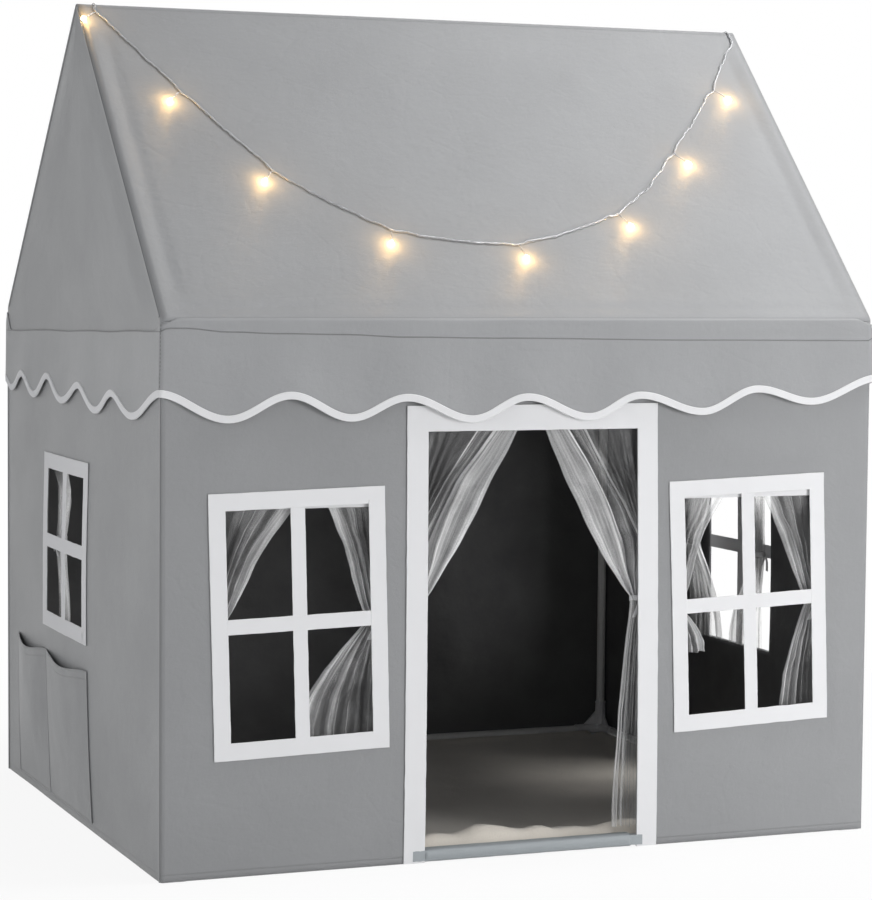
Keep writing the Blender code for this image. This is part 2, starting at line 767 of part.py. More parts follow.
def make_window_curtains():
    """A tied-back pair of curtains on one band inside each window."""
    for name, (wall, along, height, width, tall) in WINDOWS.items():
        reach = width / 2 + HEADER_OVERHANG
        top = height + tall / 2 + HEADER_HEIGHT
        band = curtain_header(wall, along - reach, along + reach, top)
        piece = new_object(f"curtains_{name}", band, tulle_material())
        sheets = []
        for side in (-1, 1):
            outer = along + side * (reach - HEADER_MARGIN)
            inner = along + side * CURTAIN_GAP / 2
            sheets.append(helper(curtain_sheet(
                wall, outer, inner, top - HEADER_HEIGHT / 2, height,
                height - tall / 2 - WINDOW_CURTAIN_DROP,
                WINDOW_CURTAIN_GRID, WINDOW_CURTAIN_FOLDS)))
        combine(piece, sheets)


def make_door_curtains():
    """Two long curtains inside the doorway, each on its own half of the band."""
    top = DOOR_HEIGHT + HEADER_HEIGHT + DOOR_TRIM_TOP / 2
    for name, side in (("left", -1), ("right", 1)):
        outer = side * (DOOR_WIDTH / 2 + HEADER_OVERHANG)
        inner = side * CURTAIN_GAP / 2
        band = curtain_header("front", min(outer, inner), max(outer, inner), top)
        piece = new_object(f"door_curtain_{name}", band, tulle_material())
        sheet = helper(curtain_sheet("front", outer - side * HEADER_MARGIN,
                                     inner + side * CURTAIN_GAP / 2, top - HEADER_HEIGHT / 2,
                                     DOOR_CURTAIN_TIE, DOOR_CURTAIN_BOTTOM,
                                     DOOR_CURTAIN_GRID, DOOR_CURTAIN_FOLDS))
        combine(piece, [sheet])


def make_mat():
    """The thin floor mat, which fills the base and is cut out round the connectors' feet."""
    side = BAR_INSET + SOCKET_RADIUS + FIT
    notch = BAR_INSET + FOOT_REACH + FIT
    outline = []
    for right, rear in ((1, 1), (-1, 1), (-1, -1), (1, -1)):
        corner = [(HALF_WIDTH - side, HALF_DEPTH - notch), (HALF_WIDTH - notch, HALF_DEPTH - notch),
                  (HALF_WIDTH - notch, HALF_DEPTH - side)]
        if right != rear:
            corner.reverse()
        outline += [Vector((right * x, rear * y, 0)) for x, y in corner]
    shape = extruded(outline, Vector(), Z * MAT_THICKNESS)
    new_object("floor_mat", shape, material("mat_cloth", (0.72, 0.66, 0.56), 0.9), smooth=False)


def on_roof(x, run, lift):
    """A point `lift` above the roof's cloth, `run` down from the crest, rear side positive."""
    bend = BAR_INSET * SLOPE
    radius = BAR_INSET + lift
    side = 1 if run >= 0 else -1
    turn = min(abs(run), bend) / BAR_INSET
    beyond = max(abs(run) - bend, 0)
    y = radius * math.sin(turn) + beyond * math.cos(SLOPE)
    z = RIDGE_BAR_HEIGHT + radius * math.cos(turn) - beyond * math.sin(SLOPE)
    return Vector((x, side * y, z))


def smooth_route(points, steps):
    """Points on a Catmull-Rom curve through the given ones, ends included."""
    padded = [2 * points[0] - points[1], *points, 2 * points[-1] - points[-2]]
    route = []
    for a, b, c, d in zip(padded, padded[1:], padded[2:], padded[3:]):
        for step in range(steps):
            t = step / steps
            route.append(0.5 * (2 * b + (c - a) * t + (2 * a - 5 * b + 4 * c - d) * t * t
                                + (3 * b - a - 3 * c + d) * t ** 3))
    route.append(points[-1])
    return route


def lamp_string_route():
    """The wire's points, and for each lamp where its stub starts and where it ends, on the roof."""
    flat = [Vector((x, run, 0)) for x, run in WIRE_ROUTE]
    route = smooth_route(flat, WIRE_CURVE_STEPS)
    lengths = [0.0]
    for one, two in zip(route, route[1:]):
        lengths.append(lengths[-1] + (two - one).length)
    total = lengths[-1]
    lamps = [total - LAMP_PITCH * (1 + lamp) for lamp in range(int(total / LAMP_PITCH) - 1)]
    raised = GLAND_RADIUS - WIRE_RADIUS

    def spot(distance):
        """The place on the route, and the direction away from the middle of its loop."""
        index = next(i for i in range(1, len(route)) if lengths[i] >= distance or i == len(route) - 1)
        step = route[index] - route[index - 1]
        part = (distance - lengths[index - 1]) / step.length
        return route[index - 1] + step * part, Vector((-step.y, step.x, 0)).normalized()

    def wire_point(distance):
        place_on, away = spot(distance)
        nearest = min(abs(distance - lamp) for lamp in lamps)
        place_on += away * LAMP_PULL * max(0, 1 - nearest / LAMP_PULL_REACH)
        rise = raised * min(1, max(0, 1 - (distance - GLAND_LENGTH) / GLAND_RUN_DOWN))
        return on_roof(place_on.x, place_on.y, WIRE_RADIUS + FIT + rise)

    stops = [0.0, GLAND_LENGTH, total]
    for lamp in lamps:
        stops += [lamp - LAMP_PULL_REACH, lamp, lamp + LAMP_PULL_REACH]
    distance = GLAND_LENGTH + GLAND_RUN_DOWN
    while distance < total:
        if all(abs(distance - stop) > WIRE_RIDGE_STEP / 2 for stop in stops):
            stops.append(distance)
        to_ridge = abs(spot(distance)[0].y) - BAR_INSET * SLOPE
        distance += min(max(to_ridge, WIRE_RIDGE_STEP), WIRE_STEP)
    stubs = []
    for lamp in lamps:
        place_on, away = spot(lamp)
        way = (away * (1 - LAMP_LEAN) - Y * LAMP_LEAN).normalized()
        tip = place_on + way * (LAMP_PULL + LAMP_STUB + LAMP_LENGTH)
        stubs.append((wire_point(lamp), on_roof(tip.x, tip.y, LAMP_RADIUS + 2 * FIT)))
    onward = (route[-1] - route[-2]).normalized()
    tip = route[-1] + onward * (LAMP_STUB + LAMP_LENGTH)
    stubs.append((wire_point(total), on_roof(tip.x, tip.y, LAMP_RADIUS + 2 * FIT)))
    return [wire_point(distance) for distance in sorted(stops)], stubs


def make_lamp_string():
    """The wire of the lamp string on the roof, with a lamp on a stub at each pull and its end."""
    points, stubs = lamp_string_route()
    curve = bpy.data.curves.new("lamp_string", "CURVE")
    curve.dimensions = "3D"
    curve.bevel_depth = WIRE_RADIUS
    curve.bevel_resolution = WIRE_ROUNDNESS
    curve.use_fill_caps = True
    spline = curve.splines.new("POLY")
    spline.points.add(len(points) - 1)
    for point, place_on in zip(spline.points, points):
        point.co = (*place_on, 1.0)
    curve.materials.append(material("clear_wire", (0.62, 0.62, 0.60), 0.3))
    wire = bpy.data.objects.new("wire", curve)
    bpy.context.scene.collection.objects.link(wire)
    seen = wire.evaluated_get(bpy.context.evaluated_depsgraph_get())
    made = bpy.data.objects.new("lamp_string", bpy.data.meshes.new_from_object(seen))
    bpy.context.scene.collection.objects.link(made)
    bpy.data.objects.remove(wire)
    lamps = []
    for root, tip in stubs:
        length = (tip - root).length
        bulb = length - LAMP_LENGTH
        rounding = LAMP_LENGTH * LAMP_ROUNDING
        profile = [(0, LAMP_STUB_RADIUS), (bulb, LAMP_STUB_RADIUS),
                   (bulb + rounding, LAMP_RADIUS), (length - rounding, LAMP_RADIUS),
                   (length, LAMP_TIP_RADIUS)]
        lamps.append(helper(turned(root, (tip - root).normalized(), profile, sides=LAMP_SIDES)))
    combine(made, lamps)


# The battery box is modelled flat about the middle of its upper end, with +Y down the rear slope
# and +Z away from the roof, and then laid on the roof where the wire ends
BOX_INSIDE_WIDTH = 4 * CELL_RADIUS + 3 * FIT
BOX_WIDTH = BOX_INSIDE_WIDTH + 2 * (BOX_WALL + COVER_GROOVE)
BAY_LENGTH = CELL_LENGTH + CELL_NUB + 2 * CONTACT_ROOM
BOX_LENGTH = SWITCH_BAY + BAY_LENGTH + BOX_WALL
CELL_HEIGHT = BOX_FLOOR + FIT + CELL_RADIUS
COVER_LOW = BOX_FLOOR + 2 * FIT + 2 * CELL_RADIUS + FIT
BOX_HEIGHT = COVER_LOW + COVER_THICKNESS + 2 * FIT + COVER_LIP


def lay_on_roof(piece):
    """Move a piece of the battery box from its own frame to its place on the rear slope."""
    x, run = WIRE_ROUTE[0]
    origin = on_roof(x, run + GLAND_LENGTH + FIT, FIT)
    piece.matrix_world = Matrix.Translation(origin) @ Matrix.Rotation(-SLOPE, 4, "X")
    return piece


def box_slab(width, start, end, low, high, shift=0.0):
    """A block in the battery box's frame, across its middle plus `shift`."""
    return block((shift - width / 2, start, low), (shift + width / 2, end, high))


def make_battery_box():
    """The box with its cell bay, the slides for the cover, the switch slot and the wire's gland."""
    outline = rounded_outline(X, Y, BOX_WIDTH, BOX_LENGTH, BOX_CORNER)
    body = extruded(outline, Y * BOX_LENGTH / 2, Z * BOX_HEIGHT)
    piece = new_object("battery_box", body, box_material())
    end = BOX_LENGTH + BOX_WALL
    over = BOX_HEIGHT + BOX_WALL
    groove = BOX_INSIDE_WIDTH + 2 * COVER_GROOVE
    slot_low = BOX_HEIGHT - BOX_WALL
    slot = KNOB_LENGTH + SWITCH_TRAVEL + 2 * FIT
    well = KNOB_BASE_LENGTH + SWITCH_TRAVEL + 2 * FIT
    mid = SWITCH_BAY / 2
    gland = turned(Y * BOX_WALL + Z * GLAND_RADIUS, -Y,
                   [(0, GLAND_RADIUS), (BOX_WALL, GLAND_RADIUS),
                    (BOX_WALL + GLAND_LENGTH, WIRE_RADIUS)])
    cuts = [
        box_slab(BOX_INSIDE_WIDTH, SWITCH_BAY, SWITCH_BAY + BAY_LENGTH, BOX_FLOOR, COVER_LOW),
        box_slab(groove, SWITCH_BAY, end, COVER_LOW - FIT, BOX_HEIGHT - COVER_LIP),
        box_slab(BOX_INSIDE_WIDTH, SWITCH_BAY, end, COVER_LOW, over),
        box_slab(slot, mid - KNOB_WIDTH / 2 - FIT, mid + KNOB_WIDTH / 2 + FIT,
                 slot_low - FIT, over),
        box_slab(well, mid - KNOB_BASE_WIDTH / 2 - FIT, mid + KNOB_BASE_WIDTH / 2 + FIT,
                 slot_low - KNOB_BASE - 2 * FIT, slot_low),
    ]
    lay_on_roof(combine(piece, [helper(gland)], [helper(cut) for cut in cuts]))


def make_battery_cover():
    """The cover that slides down the box in its two grooves, with a ribbed thumb grip."""
    width = BOX_INSIDE_WIDTH + 2 * COVER_GROOVE - 2 * FIT
    start = SWITCH_BAY + FIT
    plate = box_slab(width, start, BOX_LENGTH, COVER_LOW, COVER_LOW + COVER_THICKNESS)
    piece = new_object("battery_cover", plate, box_material())
    rib_height = COVER_LOW + COVER_THICKNESS + COVER_LIP
    ribs = []
    for rib in range(GRIP_RIBS):
        down = BOX_LENGTH - GRIP_FROM_END + rib * GRIP_PITCH
        ribs.append(helper(box_slab(BOX_INSIDE_WIDTH / 2, down, down + GRIP_RIB,
                                    COVER_LOW + COVER_THICKNESS / 2, rib_height)))
    lay_on_roof(combine(piece, ribs))


def make_power_switch():
    """The slide switch: a knob on a base that runs under the slot, at the off end of its travel."""
    top = BOX_HEIGHT - BOX_WALL - FIT
    mid = SWITCH_BAY / 2
    shift = -SWITCH_TRAVEL / 2
    base = box_slab(KNOB_BASE_LENGTH, mid - KNOB_BASE_WIDTH / 2, mid + KNOB_BASE_WIDTH / 2,
                    top - KNOB_BASE, top, shift)
    piece = new_object("power_switch", base, material("switch_plastic", (0.04, 0.04, 0.04), 0.5))
    knob = box_slab(KNOB_LENGTH, mid - KNOB_WIDTH / 2, mid + KNOB_WIDTH / 2,
                    top - KNOB_BASE / 2, BOX_HEIGHT + KNOB_HEIGHT, shift)
    lay_on_roof(combine(piece, [helper(knob)]))


def make_cells():
    """Two cells side by side in the bay, one turned end for end."""
    for name, side in (("left", -1), ("right", 1)):
        across = side * (CELL_RADIUS + FIT / 2)
        profile = [(0, CELL_RADIUS), (CELL_LENGTH, CELL_RADIUS),
                   (CELL_LENGTH, CELL_NUB_RADIUS), (CELL_LENGTH + CELL_NUB, CELL_NUB_RADIUS)]
        start = SWITCH_BAY + (FIT if side < 0 else BAY_LENGTH - FIT)
        shape = turned(Vector((across, start, CELL_HEIGHT)), Y * -side, profile)
        steel = material("cell_steel", (0.5, 0.5, 0.5), 0.35, 0.9)
        lay_on_roof(new_object(f"battery_cell_{name}", shape, steel))


def main():
    clear_scene()
    make_connectors()
    make_tubes()
    make_walls()
    make_roof()
    make_valance()
    make_door_trim()
    make_window_frames()
    make_sill_sleeve()
    make_pockets()
    make_window_curtains()
    make_door_curtains()
    make_mat()
    make_lamp_string()
    make_battery_box()
    make_battery_cover()
    make_power_switch()
    make_cells()
    for stray in [item for item in bpy.data.materials if item.users == 0]:
        bpy.data.materials.remove(stray)


main()
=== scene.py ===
import json
import math
from bisect import bisect_left

import bmesh
import bpy
from bpy.props import FloatProperty, FloatVectorProperty, PointerProperty
from mathutils import Matrix, Vector, noise


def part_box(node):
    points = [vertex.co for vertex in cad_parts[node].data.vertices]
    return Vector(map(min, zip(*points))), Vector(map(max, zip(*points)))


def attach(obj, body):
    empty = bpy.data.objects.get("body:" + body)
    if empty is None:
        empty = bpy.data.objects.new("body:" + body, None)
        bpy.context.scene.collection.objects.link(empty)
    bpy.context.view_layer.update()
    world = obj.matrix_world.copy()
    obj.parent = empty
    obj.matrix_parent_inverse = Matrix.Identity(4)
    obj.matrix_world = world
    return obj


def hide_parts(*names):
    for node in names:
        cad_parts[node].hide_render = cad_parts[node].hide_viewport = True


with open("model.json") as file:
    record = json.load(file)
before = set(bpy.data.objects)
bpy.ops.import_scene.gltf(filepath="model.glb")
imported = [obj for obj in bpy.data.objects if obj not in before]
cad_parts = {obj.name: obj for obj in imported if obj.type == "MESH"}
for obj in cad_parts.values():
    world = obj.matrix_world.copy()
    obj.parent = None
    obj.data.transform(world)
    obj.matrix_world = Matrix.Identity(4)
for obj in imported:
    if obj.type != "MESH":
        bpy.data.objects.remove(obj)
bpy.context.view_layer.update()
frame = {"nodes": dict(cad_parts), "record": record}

bl_info = {
    "name": "Play Tent",
    "version": (1, 0, 0),
    "blender": (4, 5, 0),
    "location": "3D View > Sidebar > Play Tent",
    "description": "Dresses a play tent's frame in its cloth, tape, curtains and lamp string",
    "category": "Object",
}

X = Vector((1, 0, 0))
Y = Vector((0, 1, 0))
Z = Vector((0, 0, 1))

# The frame's own sizes, in metres
HALF_WIDTH = 0.600
HALF_DEPTH = 0.500
CLOTH = 0.0012
TAPE = 0.0010
FIT = 0.0003
HEM_LIFT = 0.0010
BAR_INSET = 0.0118
BAR_Y = HALF_DEPTH - BAR_INSET
BAR_X = HALF_WIDTH - BAR_INSET
EAVE_BAR = 0.838
RIDGE_BAR = 1.3332
SLOPE = math.atan2(RIDGE_BAR - EAVE_BAR, BAR_Y)
RAFTER = math.hypot(RIDGE_BAR - EAVE_BAR, BAR_Y)
CREST_BEND = BAR_INSET * SLOPE
EAVE_BEND = BAR_INSET * (math.pi / 2 - SLOPE)
ROOF_RUN = CREST_BEND + RAFTER + EAVE_BEND

DOOR_WIDTH = 0.354
DOOR_HEIGHT = 0.670
DOOR_TRIM = 0.035
DOOR_TRIM_TOP = 0.040
MUNTIN = 0.023
FRAME_TAPE = 0.0265
WINDOW_LAP = 0.002
BAR_LAP = 0.001

VALANCE_TOP = 0.834
BINDING_WIDTH = 0.0115
BINDING = 0.0022
TAPE_LIFT = 0.0005
TAPE_STEP = 0.006
SCALLOP_PITCH = 0.200
SCALLOP_PEAK = 0.728
SCALLOP_TROUGH = 0.694
# Middle of the binding on the front: each crest and trough as (x, z)
FRONT_SCALLOPS = [
    (-0.602, 0.732), (-0.499, 0.693), (-0.403, 0.728), (-0.304, 0.693), (-0.216, 0.723),
    (-0.107, 0.689), (-0.016, 0.722), (0.091, 0.690), (0.179, 0.723), (0.289, 0.696),
    (0.387, 0.731), (0.488, 0.710), (0.602, 0.747),
]

# The same on the left wall, as (y, z), and the front's seam along its top, as (x, z)
LEFT_SCALLOPS = [
    (-0.502, 0.732), (-0.365, 0.692), (-0.255, 0.722), (-0.158, 0.6905), (-0.047, 0.7256),
    (0.056, 0.6963), (0.174, 0.732), (0.261, 0.697), (0.358, 0.7296), (0.447, 0.701),
    (0.502, 0.716),
]
FRONT_SEAM = [
    (-0.602, 0.8232), (-0.588, 0.8284), (-0.563, 0.8283), (-0.495, 0.8228), (-0.417, 0.8205),
    (-0.321, 0.8190), (-0.208, 0.8149), (-0.059, 0.8131), (0.287, 0.8094), (0.602, 0.8080),
]
LEFT_SEAM = [(-0.502, 0.8232), (-0.408, 0.8214), (-0.156, 0.8153), (0.105, 0.8098),
             (0.502, 0.8020)]
OTHER_SEAM = 0.812
# How far the valance's top lies over VALANCE_TOP on the front and back, and over its seam beside
VALANCE_RISE = 0.0090
VALANCE_LAP = 0.0016
VALANCE_LENGTH = 4 * (HALF_WIDTH + HALF_DEPTH)
# How much paler the valance's cloth is than the walls' cloth: painted light, standing in for the
# light from above that falls on it
VALANCE_PAINTED_LIGHT = 1.14

POCKET_FRONT = -0.110
POCKET_REAR = 0.400
POCKET_SEAM = 0.170
POCKET_BOTTOM = 0.016
POCKET_MOUTH = 0.265
POCKET_GRID = 0.007
POCKET_BELLY = 0.011
POCKET_DIP = 0.010
POCKET_SEAM_WIDTH = 0.0045

DOOR_CURTAIN_TIE = 0.398
DOOR_TIE_BESIDE = 0.026
WINDOW_TIE_BESIDE = 0.012
DOOR_NET_WIDTH = 0.25
WINDOW_NET_WIDTH = 0.15
# Each window curtain's width along its top, its tail's spread and its tail's length
WINDOW_CURTAINS = {
    "front_left": ((0.134, 0.012, 0.18), (0.094, 0.116, 0.18)),
    "front_right": ((0.094, 0.046, 0.075), (0.114, 0.048, 0.18)),
    "left": ((0.094, 0.062, 0.17), (0.112, 0.048, 0.17)),
    "right": ((0.128, 0.100, 0.17), (0.128, 0.100, 0.17)),
}
# How far the front windows are turned and raised, and how far the doorway's right side leans out
WINDOW_TURNS = {"front_left": (0.028, 0.002), "front_right": (0.036, 0.006)}
DOOR_FLARE = 0.008
# Where the nets lie denser: middle, half width and weight, as shares of their width
DOOR_GATHERS = (
    (0.668, 0.014, 0.50), (0.735, 0.055, 0.16), (0.832, 0.017, 0.75), (0.92, 0.080, 0.38),
    (0.988, 0.014, 0.35), (0.875, 0.008, 0.20),
)
WINDOW_GATHERS = (
    (0.40, 0.008, 0.22), (0.62, 0.085, 0.22), (0.545, 0.008, 0.25), (0.80, 0.014, 0.30),
    (0.905, 0.105, 0.50), (0.988, 0.014, 0.30), (0.15, 0.010, 0.12),
)
DOOR_CURTAIN_BOTTOM = 0.032
FOLD_PITCH = 0.027
# How far a net's inner edge bellies, as a share of its width
DOOR_BOW = 0.08
WINDOW_BOW = 0.02
CURTAIN_DROP = 0.007
HEADER_HEIGHT = 0.014
HEADER_DEPTH = 0.004
HEADER_OVERHANG = 0.012
# How far from the doorway's middle its bands and its nets end
DOOR_BAND_END = 0.003
DOOR_NET_END = 0.010
TIE_DEPTH = 0.018
TIE_HEIGHT = 0.009
TIE_TAPE = 0.0010

WIRE_DIAMETER = 0.003
WIRE_ROUTE = [
    (0.560, 0.0900), (0.560, 0.0780), (0.570, 0.0520), (0.584, 0.0240), (0.588, 0.0000),
    (0.583, -0.0400), (0.550, -0.0860), (0.519, -0.1350), (0.450, -0.2280), (0.371, -0.3210),
    (0.300, -0.4050), (0.220, -0.4680), (0.118, -0.5150), (0.018, -0.5410), (-0.080, -0.5370),
    (-0.175, -0.5150), (-0.262, -0.4620), (-0.339, -0.3950), (-0.407, -0.3010), (-0.467, -0.2020),
    (-0.525, -0.1050), (-0.566, -0.0300), (-0.573, 0.0000), (-0.574, 0.0300), (-0.571, 0.0600),
    (-0.566, 0.1200), (-0.562, 0.1863),
]
WIRE_CURVE_STEPS = 8
LAMP_PITCH = 0.211
LAMP_PULL = 0.005
LAMP_PULL_REACH = 0.022
LAMP_STUB = 0.027
LAMP_LENGTH = 0.009
LAMP_RADIUS = 0.0034
LAMP_LEAN = 0.25
GLAND_RADIUS = 0.0028
GLAND_LENGTH = 0.006
GLAND_RUN_DOWN = 0.020
WIRE_STEP = 0.003
STRAND_RADIUS = 0.00075
STUB_RADIUS = 0.0009
LAMP_SHINE_LIFT = 0.0110
LAMP_SHINE_RADIUS = 0.002
# The profile of a lamp's collar and drop, as (along, radius)
LAMP_PROFILE = [
    (-0.0015, 0.0012), (-0.0012, 0.0016), (0.0004, 0.0017), (0.0008, 0.0021), (0.0018, 0.0029),
    (0.0032, 0.0033), (0.0050, 0.0032), (0.0066, 0.0026), (0.0080, 0.0016), (0.0088, 0.0006),
]

SLEEVE_CLOTH = 0.0008
SLEEVE_ROUND = 0.084
SLEEVE_SIDES = 20
# Rows of stitches: near the edges of its tabs, and along its front above and below
SLEEVE_ROWS = (0.0022, 0.030, 0.0525)
TAB_LENGTH = 0.024
TAB_WIDTH = 0.016
SEAM_TAPE = 0.0011
SEAM_STEP = 0.012
CORNER_SEAM_TOP = 0.77
CORNER_SEAM_INSET = 0.0042
GABLE_SEAM_INSET = 0.0052
MAT_CORNER = 0.022
MAT_GRID = 0.010
MAT_LIFT = 0.0008

# Pitches of the yarns, ribs and stitches, and the stitches' way from the edge of a tape
YARN_PITCH = 0.0009
RIB_PITCH = 0.0013
STITCH = 0.0034
CORNER_STITCH = 0.0060
TAPE_INSET = 0.0028
BINDING_INSET = 0.0018
# Cells of net to the metre, and how dark a finish's own shade makes it at most
NET_CELLS = 750.0
DARKEST = 0.5
CORE_COLOUR = (1.0, 0.96, 0.86)
SWITCH_COLOUR = (0.035, 0.035, 0.036)
STEEL_COLOUR = (0.56, 0.55, 0.53)
SKY_COLOUR = (0.94, 0.96, 1.0)
FLOOR_SIZE = 14.0
FLOOR_FADE = (0.9, 1.9)
FLOOR_SHADOW = 0.90
LIGHT_AIM = Vector((0, 0, 0.6))
# Each studio lamp's place and size
LIGHTS = {
    "right": ((2.2, -3.15, 0.75), 1.3),
    "left": ((-2.3, -1.15, 1.0), 1.2),
    "back": ((1.2, 3.4, 2.4), 2.2),
    "top": ((2.0, -0.7, 3.7), 1.6),
}

WALLS = {
    "front": (-HALF_DEPTH * Y, X, Y, HALF_WIDTH),
    "back": (HALF_DEPTH * Y, X, -Y, HALF_WIDTH),
    "left": (-HALF_WIDTH * X, Y, X, HALF_DEPTH),
    "right": (HALF_WIDTH * X, Y, -X, HALF_DEPTH),
}
FACING_IN = ("back", "left")


def window_from_frame(name):
    """The wall, middle, height, width and tallness of a window's opening, from its frame."""
    low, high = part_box(f"window_frame_{name}")
    wall = name.split("_")[0]
    axis = 0 if wall == "front" else 1
    return (wall, (low[axis] + high[axis]) / 2, (low[2] + high[2]) / 2,
            high[axis] - low[axis] - 2 * FRAME_TAPE, high[2] - low[2] - 2 * FRAME_TAPE)


WINDOWS = {name: window_from_frame(name)
           for name in ("front_left", "front_right", "left", "right")}


# Shapes

def soft(value, low, high):
    """Rise smoothly from 0 at `low` to 1 at `high`."""
    part = min(1.0, max(0.0, (value - low) / (high - low)))
    return part * part * (3 - 2 * part)


def hump(value, middle, reach):
    """A smooth hump of height 1 at `middle` that ends `reach` away."""
    part = min(1.0, abs(value - middle) / reach)
    return (1 - part * part) ** 2


def drift(a, b, seed):
    """Smooth unevenness between -1 and 1 that is the same on each run."""
    return noise.noise(Vector((a, b, seed)))


def blend_points(points, at):
    """Height at a place between points, with level crests and troughs."""
    for (a, low), (b, high) in zip(points, points[1:]):
        if at <= b or (b, high) == points[-1]:
            part = min(1.0, max(0.0, (at - a) / (b - a)))
            return low + (high - low) * (1 - math.cos(math.pi * part)) / 2
    return points[-1][1]


def cut_lines(low, high, step, stops=()):
    """Lines from `low` to `high`, about `step` apart, with one on each stop."""
    marks = sorted({low, high, *[stop for stop in stops if low < stop < high]})
    lines = [low]
    for one, two in zip(marks, marks[1:]):
        count = max(1, round((two - one) / step))
        lines += [one + (two - one) * k / count for k in range(1, count + 1)]
    return lines


def gable_half(height):
    """Half the width of a gable at a height, under the roof's cloth."""
    if height <= EAVE_BAR:
        return HALF_DEPTH - CLOTH - FIT
    radius = BAR_INSET - CLOTH - FIT
    rise = height - EAVE_BAR
    if rise < radius * math.cos(SLOPE):
        return BAR_Y + math.sqrt(radius ** 2 - rise ** 2)
    crest = height - RIDGE_BAR
    if crest > radius * math.cos(SLOPE):
        return math.sqrt(max(0.0, radius ** 2 - crest ** 2))
    return BAR_Y - (rise * math.cos(SLOPE) - radius) / math.sin(SLOPE)


class TentShape:
    """Where the cloth lies: the frame's flat faces with swell, sag and wrinkles."""

    def __init__(self, cloth):
        self.swells = {"front": cloth.front_swell, "back": cloth.front_swell,
                       "left": cloth.side_swell, "right": cloth.side_swell}
        self.sag = cloth.roof_sag
        self.wrinkle = cloth.wrinkle_depth
        self.seeds = {"front": 2.3, "back": 7.1, "left": 11.7, "right": 17.9}

    def swell(self, wall, along, height):
        """How far a wall's cloth stands out from its flat face."""
        half = WALLS[wall][3]
        seed = self.seeds[wall]
        if height > EAVE_BAR:
            beside = gable_half(height) - abs(along)
            above = height - EAVE_BAR
            free = soft(beside, 0.0, 0.09) * soft(above, 0.0, 0.05)
            belly = self.swells[wall] * 0.35 * free
            foot = free
        else:
            beside = half - abs(along)
            free = soft(beside, 0.0, 0.07) * soft(EAVE_BAR - height, 0.0, 0.10)
            foot = soft(height, 0.0, 0.10)
            rise = math.sin(math.pi * min(1, max(0, height / EAVE_BAR)) ** 0.85)
            across = math.sin(math.pi / 2 * min(1, beside / (0.75 * half)))
            belly = self.swells[wall] * max(0, rise) * across
        waves = (1.6 * drift(along * 2.3, height * 1.5, seed)
                 + 0.8 * drift(along * 8 + height * 2.5, height * 2.2, seed + 3)
                 + 0.35 * drift(along * 19 - height * 7, height * 9, seed + 5)
                 + 0.16 * drift(along * 47, height * 41, seed + 8))
        hem = 0.9 * drift(along * 6, 0.5, seed + 1) * (1 - foot) * soft(beside, 0.0, 0.05)
        return belly + self.wrinkle * (free * (0.25 + 0.75 * foot) * waves + hem)

    def wall(self, wall, along, depth, height):
        """A point in or on a wall's cloth, `depth` inwards from its outer face."""
        foot, sideways, inwards, _ = WALLS[wall]
        inner = depth - self.swell(wall, along, height)
        along, height = self.askew(wall, along, height)
        return foot + sideways * along + inwards * inner + Z * height

    def askew(self, wall, along, height):
        """Where a place on a wall lies, with the windows and doorway sewn in a little askew."""
        for name, (turn, rise) in WINDOW_TURNS.items():
            on_wall, middle, level, width, tall = WINDOWS[name]
            if wall == on_wall:
                a, b = along - middle, height - level
                near = soft(width / 2 + FRAME_TAPE + 0.025 - abs(a), 0.0, 0.022)
                near *= soft(tall / 2 + FRAME_TAPE + 0.050 - abs(b), 0.0, 0.045)
                along, height = along - turn * b * near, height + (turn * a + rise) * near
        if wall == "front":
            near = soft(0.055 - abs(along - (DOOR_WIDTH + DOOR_TRIM) / 2), 0.0, 0.028)
            near *= height < DOOR_HEIGHT + 0.1
            along += near * (0.002 + DOOR_FLARE * (1 - height / DOOR_HEIGHT))
        return along, height

    def give(self, x, run):
        """How far the roof's cloth lies above its flat slope; below zero it sags."""
        down = abs(run)
        seed = 23.0 if run < 0 else 31.0
        inboard = BAR_X - abs(x)
        clear = soft(inboard, 0.004, 0.030)
        spread = soft(down, CREST_BEND, 0.12) * soft(ROOF_RUN - EAVE_BEND - down, 0.0, 0.09)
        belly = -self.sag * spread * clear * (0.45 + 0.55 * soft(inboard, 0.0, 0.3))
        trough = -0.0016 * hump(inboard, 0.020, 0.018) * spread
        eave = -0.0012 * hump(ROOF_RUN - EAVE_BEND - down, 0.018, 0.016) * clear
        waves = (1.5 * drift(x * 1.9, run * 1.6, seed)
                 + 0.7 * drift(x * 5 + run * 3, run * 7, seed + 2)
                 + 0.30 * drift(x * 17, run * 15, seed + 4)
                 + 0.14 * drift(x * 44, run * 43, seed + 6))
        return belly + trough + eave + self.wrinkle * 0.8 * spread * clear * waves

    def roof(self, x, run, lift=0.0):
        """A point `lift` above the roof's cloth, `run` down from the crest, rear positive."""
        side = -1 if run < 0 else 1
        down = abs(run)
        beyond = min(max(down - CREST_BEND, 0), RAFTER)
        turn = min(down, CREST_BEND) / BAR_INSET
        turn += max(down - CREST_BEND - RAFTER, 0) / BAR_INSET
        radius = BAR_INSET + lift + self.give(x, run)
        y = radius * math.sin(turn) + beyond * math.cos(SLOPE)
        z = RIDGE_BAR + radius * math.cos(turn) - beyond * math.sin(SLOPE)
        return Vector((x, side * y, z))


def new_piece(mesh, slot, *finishes, stands_for=None):
    """Put a mesh into the scene as a piece of the tent, in place of the solid it stands for."""
    piece = bpy.data.objects.new(mesh.name, mesh)
    bpy.context.scene.collection.objects.link(piece)
    for finish in finishes:
        mesh.materials.append(finish)
    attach(piece, "tent")
    if stands_for:
        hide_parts(stands_for)
    return piece


